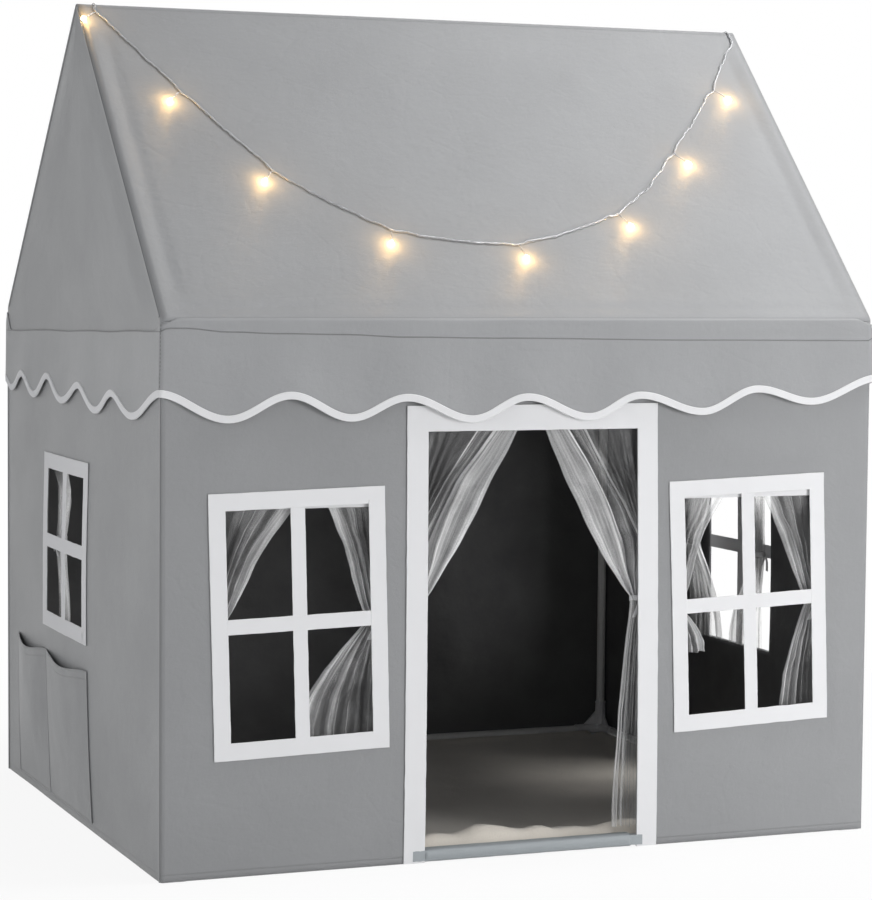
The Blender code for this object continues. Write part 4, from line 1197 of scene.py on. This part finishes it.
class PLAYTENT_OT_roof(bpy.types.Operator):
    """Stretch the two slopes of the roof over the bars"""
    bl_idname = "play_tent.roof"
    bl_label = "Roof"

    def execute(self, context):
        shape = tent_shape()
        grid = context.scene.play_tent_cloth.grid
        columns = cut_lines(-HALF_WIDTH, HALF_WIDTH, grid, (-BAR_X, BAR_X, -0.57, 0.57))
        rows = (cut_lines(0.00015, CREST_BEND, 0.002)
                + cut_lines(CREST_BEND, CREST_BEND + RAFTER, grid)[1:]
                + cut_lines(CREST_BEND + RAFTER, ROOF_RUN, 0.0025)[1:])
        for name, side, bars in (("front", -1, "front"), ("rear", 1, "back")):
            mesh = woven(f"roof_{name}_cloth", columns, rows,
                         lambda x, down: shape.roof(x, side * down), flip=side < 0)
            piece = cloth_piece(mesh, grey_cloth(), f"roof_{name}")
        return {"FINISHED"}


class PLAYTENT_OT_seams(bpy.types.Operator):
    """Fold the narrow seams down the corners and along the gables"""
    bl_idname = "play_tent.seams"
    bl_label = "Seams"

    def execute(self, context):
        shape = tent_shape()
        folded = bmesh.new()
        for wall in ("left", "right"):
            out = -WALLS[wall][2]
            for end in (-1, 1):
                along = end * (HALF_DEPTH - CORNER_SEAM_INSET)
                heights = cut_lines(HEM_LIFT, CORNER_SEAM_TOP, SEAM_STEP)
                points = [shape.wall(wall, along, -FIT, height) for height in heights]
                ribbon(folded, points, Y * 0.0020, out, SEAM_TAPE)
                across = Y * end * math.sin(SLOPE) + Z * math.cos(SLOPE)
                points = []
                for down in cut_lines(0.004, RAFTER - 0.004, SEAM_STEP):
                    edge = Vector((0, end * down * math.cos(SLOPE),
                                   RIDGE_BAR - down * math.sin(SLOPE)))
                    middle = edge + across * (BAR_INSET - GABLE_SEAM_INSET)
                    points.append(shape.wall(wall, middle.y, -FIT, middle.z))
                ribbon(folded, points, across * 0.0021, out, SEAM_TAPE)
        new_piece(mesh_from("folded_seams", folded), "grey_cloth", grey_cloth("seam_cloth", ()))
        return {"FINISHED"}


# Valance

def around_tent():
    """The walls in the order of the valance, with where each starts and which way it runs."""
    started = 0.0
    for wall, sign in (("front", 1), ("right", 1), ("back", -1), ("left", -1)):
        half = WALLS[wall][3]
        yield wall, sign, half, started
        started += 2 * half


def valance_spot(distance):
    """The wall and the place along it at a distance round the tent."""
    distance %= VALANCE_LENGTH
    for wall, sign, half, started in around_tent():
        if distance <= started + 2 * half:
            return wall, sign * (distance - started - half), half
    return wall, sign * half, half


def binding_height(distance):
    """Height of the middle of the binding at a distance round the tent."""
    wall, along, half = valance_spot(distance)
    if wall in ("front", "left"):
        return blend_points(FRONT_SCALLOPS if wall == "front" else LEFT_SCALLOPS, along)
    wave = (1 - math.cos(2 * math.pi * (along + half) / SCALLOP_PITCH)) / 2
    beside = FRONT_SCALLOPS if wall == "right" else LEFT_SCALLOPS
    lift = (beside[-1][1] - SCALLOP_PEAK) * hump(along, -half, 0.10)
    return SCALLOP_PEAK + (SCALLOP_TROUGH - SCALLOP_PEAK) * wave + lift


def valance_point(shape, distance, drop, height):
    """A point on the valance at a share of its drop, standing out as loose cloth does."""
    wall, along, half = valance_spot(distance)
    corner = half - abs(along)
    free = soft(corner, 0.0, 0.16)
    wave = math.cos(2 * math.pi * distance / SCALLOP_PITCH)
    loose = 0.0070 if wall == "front" else 0.0032
    stand = FIT + CLOTH + 0.0009 * soft(drop, 0.03, 0.15)
    stand += drop * (0.0014 + free * (loose + 0.0012 * wave + 0.0022 * drift(distance * 5, 0, 6.0)))
    stand += 0.0010 * drift(distance * 21, drop * 2, 8.0) * drop * free
    stand += max(0.0, shape.swell(wall, along, height))
    if wall == "front":
        stand += TAPE * soft(drop, 0.6, 0.9)
    if wall in ("front", "right"):
        at_end = along if wall == "front" else -along
        stand += 0.004 * drop * drop * soft(at_end, half - 0.18, half)
    foot, sideways, inwards, _ = WALLS[wall]
    stretch = 1 + stand / half * (1 - soft(corner, 0.0, 0.12))
    if height > EAVE_BAR:
        turn = (height - EAVE_BAR) / BAR_INSET
        height = EAVE_BAR + (BAR_INSET + stand) * math.sin(turn)
        stand -= (BAR_INSET + stand) * (1 - math.cos(turn))
    return foot + sideways * along * stretch - inwards * stand + Z * height


def seam_height(distance):
    """Height of the seam along the valance's top, which rides up beside the front's left corner."""
    wall, along, _ = valance_spot(distance)
    seams = {"front": FRONT_SEAM, "left": LEFT_SEAM}
    return blend_points(seams[wall], along) if wall in seams else OTHER_SEAM


class PLAYTENT_OT_valance(bpy.types.Operator):
    """Hang the scalloped valance under the eaves and bind its edge"""
    bl_idname = "play_tent.valance"
    bl_label = "Valance"

    def execute(self, context):
        shape = tent_shape()
        grid = context.scene.play_tent_cloth.grid
        corners = [started for _, _, _, started in around_tent()]
        columns = cut_lines(0, VALANCE_LENGTH, grid, corners)
        drops = [0.03 * k for k in range(9)] + [0.24 + 0.76 * k / 12 for k in range(1, 13)]

        def height_at(distance, drop):
            wall, along, half = valance_spot(distance)
            inboard = soft(half - abs(along), 0.0, 0.03)
            sewn = VALANCE_RISE
            if wall in ("left", "right"):
                sewn = seam_height(distance) + VALANCE_LAP - VALANCE_TOP
            top = VALANCE_TOP + sewn * inboard
            return top + (binding_height(distance) - top) * drop

        def point(distance, drop):
            return valance_point(shape, distance, drop, height_at(distance, drop))

        mesh = woven("valance_cloth", columns, drops, point, flip=True, around=True)
        for loop in mesh.uv_layers["flat"].data:
            loop.uv.y = seam_height(loop.uv.x) - height_at(*loop.uv)
        # The valance's cloth is a paler copy of the walls' cloth, as painted light from above
        colour = [VALANCE_PAINTED_LIGHT * part for part in context.scene.play_tent_cloth.colour]
        # 0.7 is the seam_shade: painted shade along the valance's top seam and its corner seams
        finish = cloth_finish("valance_cloth", colour, (0.0,), 0.7, (*corners, VALANCE_LENGTH))
        cloth = cloth_piece(mesh, finish, "valance")
        band = bmesh.new()
        stops = cut_lines(0, VALANCE_LENGTH, TAPE_STEP, corners)[:-1]
        points = []
        across = []
        out = []
        for distance in stops:
            behind, here, ahead = (valance_point(shape, near, 1, binding_height(near))
                                   for near in (distance - 0.003, distance, distance + 0.003))
            outward = -WALLS[valance_spot(distance)[0]][2]
            way = (ahead - behind).normalized()
            up = (Z - way * way.z).normalized()
            across.append(up * BINDING_WIDTH / 2)
            out.append(outward)
            points.append(here - outward * BINDING / 2)
        ribbon(band, points, across, out, BINDING, closed=True)
        finish = tape_finish("binding_tape", context.scene.play_tent_tape.colour, BINDING_INSET)
        binding = new_piece(mesh_from("scallop_binding_tape", band), "white_tape", finish,
                            stands_for="scallop_binding")
        return {"FINISHED"}


# Tape

def strip(shape, band, wall, corners, halves, thickness, ripple, seed, closed=False):
    """Flat tape sewn on a wall through corners that are mitred, over the cloth's own shape.

    `halves` is half the tape's width where it runs upright and where it runs level.
    """
    _, sideways, inwards, _ = WALLS[wall]
    lift = FIT + TAPE_LIFT
    corners = [Vector(corner) for corner in corners]
    ends = list(zip(corners, corners[1:] + corners[:1] if closed else corners[1:]))
    ways = [(two - one).normalized() for one, two in ends]
    points = []
    across = []
    for index, (one, two) in enumerate(ends):
        way = ways[index]
        before = ways[index - 1] if index or closed else way
        side = Vector((-way.y, way.x))
        turned = side + Vector((-before.y, before.x)) if before != way else side
        count = max(2, round((two - one).length / 0.008))
        for step in range(count):
            face = turned if step == 0 else side
            away = ripple * drift(step * 0.35, index, seed) * soft(min(step, count - step), 0, 4)
            spot = one.lerp(two, step / count) + side * away
            out = lift + ripple * 0.4 * (1 + drift(step * 0.4, 3 + index, seed))
            points.append(shape.wall(wall, spot.x, -out, spot.y))
            across.append(sideways * face.x * halves[0] + Z * face.y * halves[1])
    if not closed:
        points.append(shape.wall(wall, corners[-1].x, -lift, corners[-1].y))
        across.append(sideways * side.x * halves[0] + Z * side.y * halves[1])
    ribbon(band, points, across, -inwards, thickness, closed)


class PLAYTENT_OT_tapes(bpy.types.Operator):
    """Sew the white tape round the doorway and the windows"""
    bl_idname = "play_tent.tapes"
    bl_label = "Door Trim and Window Frames"

    def execute(self, context):
        shape = tent_shape()
        ripple = context.scene.play_tent_tape.ripple
        middle = (DOOR_WIDTH + DOOR_TRIM) / 2
        head = DOOR_HEIGHT + DOOR_TRIM_TOP / 2
        trim = bmesh.new()
        strip(shape, trim, "front",
              [(-middle, HEM_LIFT), (-middle, head), (middle, head), (middle, HEM_LIFT)],
              (DOOR_TRIM / 2, DOOR_TRIM_TOP / 2), TAPE, ripple, 1)
        new_piece(mesh_from("door_trim_tape", trim), "white_tape", white_tape(),
                  stands_for="door_trim")
        half = FRAME_TAPE / 2
        bar = (MUNTIN / 2, MUNTIN / 2)
        for number, (name, (wall, along, height, width, tall)) in enumerate(WINDOWS.items()):
            tape = bmesh.new()
            seed = 10.0 * number
            wide = width / 2
            high = tall / 2
            strip(shape, tape, wall, [(along + a * (wide + half), height + b * (high + half))
                                      for a, b in ((-1, -1), (-1, 1), (1, 1), (1, -1))],
                  (half, half), TAPE, ripple, seed, closed=True)
            wide += BAR_LAP
            high += BAR_LAP
            strip(shape, tape, wall, [(along, height - high), (along, height + high)], bar,
                  TAPE - 0.0001, ripple, seed + 4)
            strip(shape, tape, wall, [(along - wide, height), (along + wide, height)], bar, TAPE,
                  ripple, seed + 5)
            new_piece(mesh_from(f"window_tape_{name}", tape), "white_tape", white_tape(),
                      stands_for=f"window_frame_{name}")
        return {"FINISHED"}


class PLAYTENT_OT_sleeve(bpy.types.Operator):
    """Wrap the sleeve round the bottom tube in the doorway"""
    bl_idname = "play_tent.sleeve"
    bl_label = "Sill Sleeve"

    def execute(self, context):
        low, high = (Vector(corner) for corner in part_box("sill_sleeve"))
        half = DOOR_WIDTH / 2 - FIT
        middle = (low + high) / 2
        reach_y = (high.y - low.y) / 2
        reach_z = (high.z - low.z) / 2

        def rounded(value):
            """A sine or cosine pushed out towards a square's."""
            return math.copysign(abs(value) ** 0.55, value)

        def point(x, step):
            turn = 2 * math.pi * (step % SLEEVE_SIDES) / SLEEVE_SIDES
            puff = 1 + 0.035 * drift(x * 34, step * 0.6, 3.0)
            return Vector((x, middle.y + rounded(math.cos(turn)) * reach_y * min(puff, 1.02),
                           middle.z + rounded(math.sin(turn)) * reach_z * puff))

        mesh = woven("sill_sleeve_cloth", cut_lines(-half, half, TAPE_STEP),
                     list(range(SLEEVE_SIDES + 1)), point)
        for loop in mesh.uv_layers["flat"].data:
            loop.uv.y *= SLEEVE_ROUND / SLEEVE_SIDES
        finish = cloth_finish("sleeve_weave", context.scene.play_tent_cloth.sleeve, SLEEVE_ROWS)
        piece = new_piece(mesh, "sleeve_cloth", finish, stands_for="sill_sleeve")
        thicken(piece, SLEEVE_CLOTH)
        tabs = bmesh.new()
        for side in (-1, 1):
            points = [Vector((side * (half - 0.004 + TAB_LENGTH * k / 4),
                              low.y + 0.0012 - 0.0004 * (k % 2), middle.z + 0.0006 * (k % 2)))
                      for k in range(5)]
            ribbon(tabs, points, Z * TAB_WIDTH / 2, -Y, SEAM_TAPE)
        tab = new_piece(mesh_from("sill_sleeve_tabs", tabs), "sleeve_cloth", finish)
        return {"FINISHED"}


class PLAYTENT_OT_pockets(bpy.types.Operator):
    """Sew the two patch pockets on the left wall"""
    bl_idname = "play_tent.pockets"
    bl_label = "Pockets"

    def execute(self, context):
        shape = tent_shape()
        columns = cut_lines(POCKET_FRONT, POCKET_REAR, POCKET_GRID, (POCKET_SEAM,))
        rows = cut_lines(POCKET_BOTTOM, POCKET_MOUTH, POCKET_GRID)

        def point(along, height):
            near, far = ((POCKET_FRONT, POCKET_SEAM) if along <= POCKET_SEAM
                         else (POCKET_SEAM, POCKET_REAR))
            belly = math.sin(math.pi * (along - near) / (far - near))
            rise = (height - POCKET_BOTTOM) / (POCKET_MOUTH - POCKET_BOTTOM)
            out = FIT + CLOTH + POCKET_BELLY * belly * math.sin(math.pi / 2 * rise)
            out += 0.0009 * drift(along * 24, height * 18, 41.0) * soft(belly, 0, 0.5)
            dip = POCKET_DIP * belly ** 2 * rise
            return shape.wall("left", along, -out, height - dip)

        mesh = woven("pocket_cloth", columns, rows, point, flip=True)
        finish = grey_cloth("pocket_cloth", (POCKET_BOTTOM + 0.003, POCKET_MOUTH - 0.014))
        piece = cloth_piece(mesh, finish, "wall_pockets")
        hems = bmesh.new()
        out = -WALLS["left"][2]
        for along in (POCKET_FRONT + 0.002, POCKET_SEAM, POCKET_REAR - 0.002):
            heights = cut_lines(POCKET_BOTTOM, POCKET_MOUTH - 0.001, 0.01)
            points = [shape.wall("left", along, -FIT - CLOTH, h) for h in heights]
            ribbon(hems, points, Y * POCKET_SEAM_WIDTH / 2, out, 0.0009)
        hem = new_piece(mesh_from("pocket_seams", hems), "grey_cloth", grey_cloth("seam_cloth", ()))
        return {"FINISHED"}


# Curtains

def curtain(name, stands_for, wall, outer, inner, top, tie, bottom, flat, bow, tail, seed, finish):
    """A gathered net curtain drawn aside to a tie beside its outer edge, with its tail below.

    Its inner part swings over to the tie in dense folds and its outer part hangs nearly straight.
    `bow` is how far its inner edge bellies and `tail` how far its tail spreads.
    """
    settings = bpy.context.scene.play_tent_curtains
    foot, sideways, inwards, _ = WALLS[wall]
    toward = 1 if inner > outer else -1
    head = abs(inner - outer)
    waist = settings.tie_width
    width = flat[0]
    folds = round(width / FOLD_PITCH)
    columns = cut_lines(0, width, width / (folds * 10))
    above = cut_lines(0, 1, 0.04)
    below = cut_lines(1, 2, 0.08)[1:]

    def place_of(part, level):
        """How far from the outer edge a thread lies, as a share of the width along the top."""
        swing = math.sin(math.pi * level)
        lines = [(0.0, 0.0), (0.70, 0.70 * max(0.0, 1 - level / (1 - 4 * bow))),
                 (0.86, 0.86 * (1 - level) - 1.3 * bow * swing), (1.0, 1 - level + bow * swing)]
        for (a, low), (b, high) in zip(lines, lines[1:]):
            if part <= b:
                return low + (high - low) * (part - a) / (b - a)
        return lines[-1][1]

    def point(along, level):
        part = along / width
        if level <= 1:
            height = top + (tie - top) * level
            place = head * place_of(part, level) + waist * part * soft(level, 0.3, 1.0)
            deep = settings.fold_depth * (0.22 + 0.78 * soft(level, 0, 0.6))
        else:
            fall = level - 1
            height = tie + (bottom - tie) * fall
            place = waist * part + tail * part * math.sin(math.pi / 2 * fall)
            deep = settings.fold_depth * (1 - 0.35 * fall)
        phase = 2 * math.pi * folds * part + 1.2 * drift(part * 4, level * 1.1, seed)
        depth = CLOTH + FIT + HEADER_DEPTH / 2 + 0.008 * soft(level, 0, 0.35)
        sway = 0.003 * drift(part * 3, level * 2, seed + 4) * soft(level, 0.1, 0.6)
        crease = 0.0022 * drift(part * 9, level * 7, seed + 9) * soft(level, 0.0, 0.2)
        return (foot + sideways * (outer + toward * (place + crease))
                + inwards * (depth + deep * (1 + math.sin(phase)) + sway)
                + Z * (height - 0.006 * soft(level, 1.5, 2) * drift(part * 6, 0, seed)))

    mesh = woven(name, columns, above + below, point)
    for loop in mesh.uv_layers["flat"].data:
        level = loop.uv.y
        loop.uv.y = (top - tie) * (1 - min(level, 1)) - (tie - bottom) * max(level - 1, 0)
    return new_piece(mesh, "white_tulle", finish, stands_for=stands_for)


def curtain_tie(name, wall, outer, toward, height):
    """The tape tied round a gathered curtain, with its two short ends."""
    foot, sideways, inwards, _ = WALLS[wall]
    waist = bpy.context.scene.play_tent_curtains.tie_width
    tie = bmesh.new()
    middle = foot + sideways * (outer + toward * waist / 2) + inwards * TIE_DEPTH + Z * height
    points = []
    out = []
    for k in range(20):
        turn = 2 * math.pi * k / 20
        way = sideways * math.cos(turn) + inwards * 0.62 * math.sin(turn)
        points.append(middle + way * (waist / 2 + 0.0015) + Z * 0.0012 * math.sin(2 * turn))
        out.append((sideways * math.cos(turn) + inwards * math.sin(turn)).normalized())
    ribbon(tie, points, Z * TIE_HEIGHT / 2, out, TIE_TAPE, closed=True)
    for lean, drop in ((-0.35, 0.030), (0.5, 0.024)):
        start = middle - inwards * 0.011
        ends = [start + sideways * lean * drop * k / 4 - Z * drop * k / 4
                - inwards * 0.0015 * math.sin(k) for k in range(5)]
        ribbon(tie, ends, (sideways - Z * lean * 0.3).normalized() * 0.0035, -inwards, 0.0008)
    return new_piece(mesh_from(name, tie), "white_tape", white_tape())


def curtain_band(name, stands_for, wall, left, right, top):
    """The sewn band that carries curtains, a little full over its cord."""
    foot, sideways, inwards, _ = WALLS[wall]
    band = bmesh.new()
    stops = cut_lines(left, right, TAPE_STEP)
    middle = top - HEADER_HEIGHT / 2
    points = [foot + sideways * a + inwards * (CLOTH + FIT)
              + Z * (middle + 0.0006 * drift(a * 40, 0, 1.0)) for a in stops]
    ribbon(band, points, Z * HEADER_HEIGHT / 2, inwards, HEADER_DEPTH)
    return new_piece(mesh_from(name, band), "white_tulle", white_tape(), stands_for=stands_for)


class PLAYTENT_OT_window_curtains(bpy.types.Operator):
    """Hang a tied pair of net curtains inside each window"""
    bl_idname = "play_tent.window_curtains"
    bl_label = "Window Curtains"

    def execute(self, context):
        finish = net("window_net", WINDOW_NET_WIDTH, WINDOW_GATHERS)
        for number, (name, (wall, along, height, width, tall)) in enumerate(WINDOWS.items()):
            solid = f"curtains_{name}"
            reach = width / 2 + HEADER_OVERHANG
            top = height + tall / 2 + HEADER_HEIGHT
            band = curtain_band(f"curtain_band_{name}", solid, wall, along - reach, along + reach,
                                top)
            for side, label, cut in zip((-1, 1), ("one", "two"), WINDOW_CURTAINS[name]):
                head, tail, length = cut
                outer = along + side * (reach + WINDOW_TIE_BESIDE)
                seed = 50.0 + 10 * number + 3 * side
                flat = (WINDOW_NET_WIDTH, round(top - height + length, 3))
                piece = curtain(f"net_{name}_{label}", solid, wall, outer, outer - side * head,
                                top - CURTAIN_DROP, height, height - length, flat, WINDOW_BOW,
                                tail, seed, finish)
                tie = curtain_tie(f"tie_{name}_{label}", wall, outer, -side, height)
        return {"FINISHED"}


class PLAYTENT_OT_door_curtains(bpy.types.Operator):
    """Hang the two long net curtains inside the doorway"""
    bl_idname = "play_tent.door_curtains"
    bl_label = "Door Curtains"

    def execute(self, context):
        finish = net("door_net", DOOR_NET_WIDTH, DOOR_GATHERS)
        top = DOOR_HEIGHT + HEADER_HEIGHT + DOOR_TRIM_TOP / 2
        for name, side, tail in (("left", -1, 0.008), ("right", 1, 0.030)):
            solid = f"door_curtain_{name}"
            ends = sorted((side * (DOOR_WIDTH / 2 + HEADER_OVERHANG), side * DOOR_BAND_END))
            band = curtain_band(f"door_band_{name}", solid, "front", *ends, top)
            flat = (DOOR_NET_WIDTH, round(top - DOOR_CURTAIN_BOTTOM, 3))
            outer = side * (DOOR_WIDTH / 2 + DOOR_TIE_BESIDE)
            piece = curtain(f"door_net_{name}", solid, "front", outer, side * DOOR_NET_END,
                            top - CURTAIN_DROP, DOOR_CURTAIN_TIE, DOOR_CURTAIN_BOTTOM, flat,
                            DOOR_BOW, tail, 90.0 + side, finish)
            tie = curtain_tie(f"door_tie_{name}", "front", outer, -side, DOOR_CURTAIN_TIE)
        return {"FINISHED"}


class PLAYTENT_OT_mat(bpy.types.Operator):
    """Lay the floor mat, with its loose front edge"""
    bl_idname = "play_tent.mat"
    bl_label = "Floor Mat"

    def execute(self, context):
        low, high = (Vector(corner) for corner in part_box("floor_mat"))
        inner_x = high.x - MAT_CORNER
        inner_y = high.y - MAT_CORNER
        columns = cut_lines(low.x, high.x, MAT_GRID, (low.x + MAT_CORNER, inner_x))
        rows = cut_lines(low.y, high.y, MAT_GRID, (low.y + MAT_CORNER, inner_y))

        def point(x, y):
            front = soft(y, low.y + 0.14, low.y + 0.03)
            roll = hump(y, low.y + 0.034 + 0.010 * drift(x * 6, 0, 65.0), 0.036)
            rise = front * (0.006 + 0.010 * max(0.0, drift(x * 13, y * 9, 61.0) + 0.3))
            rise += roll * max(0.002, 0.019 + 0.017 * drift(x * 9, 0, 67.0))
            rise += roll * 0.007 * drift(x * 27 + y * 20, y * 26, 69.0)
            rise *= soft(HALF_WIDTH - abs(x), 0.02, 0.12) * soft(y, low.y, low.y + 0.02)
            turned_up = 0.006 * soft(min(high.x - abs(x), high.y - y), 0.030, 0.004)
            return Vector((x, y, high.z + rise + turned_up + 0.0006 * drift(x * 8, y * 8, 63.0)))

        def kept(x, y):
            return abs(x) < inner_x or abs(y) < inner_y

        piece = new_piece(woven("mat_cloth", columns, rows, point, kept), "mat_cloth",
                          mat_finish("mat_pile", context.scene.play_tent_cloth.mat),
                          stands_for="floor_mat")
        thicken(piece, high.z - MAT_LIFT)
        return {"FINISHED"}


class PLAYTENT_OT_frame_finishes(bpy.types.Operator):
    """Give the tubes, connectors and battery parts their finishes"""
    bl_idname = "play_tent.frame_finishes"
    bl_label = "Frame Finishes"

    def execute(self, context):
        settings = context.scene.play_tent_frame
        finishes = {
            "white_tube": moulded_finish("tube_plastic", settings.tube, 0.34, 900.0),
            "connector_plastic": moulded_finish("connector_plastic_grain", settings.connector,
                                                0.46, 1400.0),
            "box_plastic": moulded_finish("box_plastic_grain", settings.box, 0.42, 1600.0),
            "switch_plastic": moulded_finish("switch_plastic_grain", SWITCH_COLOUR, 0.5, 1800.0),
            "cell_steel": steel_finish("cell_steel_lines", STEEL_COLOUR),
        }
        by_node = {row["node"]: row["material_slot"] for row in frame["record"]["subparts"]}
        for name, piece in frame["nodes"].items():
            finish = finishes.get(by_node.get(name))
            if finish:
                for place in piece.material_slots:
                    place.material = finish
        return {"FINISHED"}


class PLAYTENT_OT_stage(bpy.types.Operator):
    """Lay a pale floor and set soft studio light"""
    bl_idname = "play_tent.stage"
    bl_label = "Stage"

    def execute(self, context):
        settings = context.scene.play_tent_stage
        context.scene.view_settings.view_transform = "Standard"
        self.floor(settings)
        self.sky(context, settings)
        for name, (place, size) in LIGHTS.items():
            light = bpy.data.lights.new(f"{name}_light", "AREA")
            light.size = size
            light.energy = getattr(settings, name)
            lamp = bpy.data.objects.new(light.name, light)
            lamp.visible_camera = False
            lamp.location = place
            way = LIGHT_AIM - Vector(place)
            lamp.rotation_euler = way.to_track_quat("-Z", "Y").to_euler()
            context.scene.collection.objects.link(lamp)
        return {"FINISHED"}

    def floor(self, settings):
        mesh = bpy.data.meshes.new("studio_floor")
        corners = [(a * FLOOR_SIZE, b * FLOOR_SIZE, 0)
                   for a, b in ((-1, -1), (1, -1), (1, 1), (-1, 1))]
        mesh.from_pydata(corners, [], [(0, 1, 2, 3)])
        floor = bpy.data.objects.new("studio_floor", mesh)
        bpy.context.scene.collection.objects.link(floor)
        made = Finish("studio_floor", settings.floor)
        place = made.solid_place()
        radius = made.add("VectorMath")
        radius.operation = "LENGTH"
        made.feed(radius.inputs[0], place)
        shade = made.clouds(place, 3.0, 3.0, 0.5)
        made.set(Base_Color=made.tint(made.spread(shade, 0.0, 0.03)), Roughness=0.9)
        white = made.add("Emission", Color=(1, 1, 1, 1), Strength=1.0)
        share = made.maths("MULTIPLY", made.seen(),
                           made.level(radius.outputs["Value"], *FLOOR_FADE, FLOOR_SHADOW, 1.0))
        made.blend(share, made.shader, white, made.nodes["Material Output"])
        mesh.materials.append(made.material)

    def sky(self, context, settings):
        world = bpy.data.worlds.new("studio_sky")
        world.use_nodes = True
        context.scene.world = world
        made = Nodes(world.node_tree)
        light = made.nodes["Background"]
        made.feed(light.inputs["Color"], (*SKY_COLOUR, 1))
        made.feed(light.inputs["Strength"], settings.sky)
        white = made.add("Background", Color=(1, 1, 1, 1), Strength=1.0)
        made.blend(made.seen(), light, white, made.nodes["World Output"])


class PLAYTENT_PT_panel(bpy.types.Panel):
    """The tent's pieces and their settings"""
    bl_idname = "PLAYTENT_PT_panel"
    bl_label = "Play Tent"
    bl_space_type = "VIEW_3D"
    bl_region_type = "UI"
    bl_category = "Play Tent"

    def draw(self, context):
        layout = self.layout
        for operator in OPERATORS:
            layout.operator(operator.bl_idname)
        for name, group in SETTINGS.items():
            box = layout.box()
            box.label(text=group.bl_rna.name)
            for key in group.__annotations__:
                box.prop(getattr(context.scene, name), key)


SETTINGS = {
    "play_tent_cloth": PlayTentCloth,
    "play_tent_tape": PlayTentTape,
    "play_tent_curtains": PlayTentCurtains,
    "play_tent_lamps": PlayTentLamps,
    "play_tent_frame": PlayTentFrame,
    "play_tent_stage": PlayTentStage,
}
OPERATORS = (
    PLAYTENT_OT_camera,
    PLAYTENT_OT_lamp_string,
    PLAYTENT_OT_walls,
    PLAYTENT_OT_roof,
    PLAYTENT_OT_seams,
    PLAYTENT_OT_valance,
    PLAYTENT_OT_tapes,
    PLAYTENT_OT_sleeve,
    PLAYTENT_OT_pockets,
    PLAYTENT_OT_window_curtains,
    PLAYTENT_OT_door_curtains,
    PLAYTENT_OT_mat,
    PLAYTENT_OT_frame_finishes,
    PLAYTENT_OT_stage,
)


def register():
    for item in (*SETTINGS.values(), *OPERATORS, PLAYTENT_PT_panel):
        bpy.utils.register_class(item)
    for name, group in SETTINGS.items():
        setattr(bpy.types.Scene, name, PointerProperty(type=group))


def unregister():
    for name in SETTINGS:
        delattr(bpy.types.Scene, name)
    for item in (PLAYTENT_PT_panel, *reversed(OPERATORS), *SETTINGS.values()):
        bpy.utils.unregister_class(item)


def main():
    register()
    bpy.ops.play_tent.camera()
    bpy.ops.play_tent.lamp_string()
    bpy.ops.play_tent.walls()
    bpy.ops.play_tent.roof()
    bpy.ops.play_tent.seams()
    bpy.ops.play_tent.valance()
    bpy.ops.play_tent.tapes()
    bpy.ops.play_tent.sleeve()
    bpy.ops.play_tent.pockets()
    bpy.ops.play_tent.window_curtains()
    bpy.ops.play_tent.door_curtains()
    bpy.ops.play_tent.mat()
    bpy.ops.play_tent.frame_finishes()
    bpy.ops.play_tent.stage()


if __name__ == "__main__":
    main()
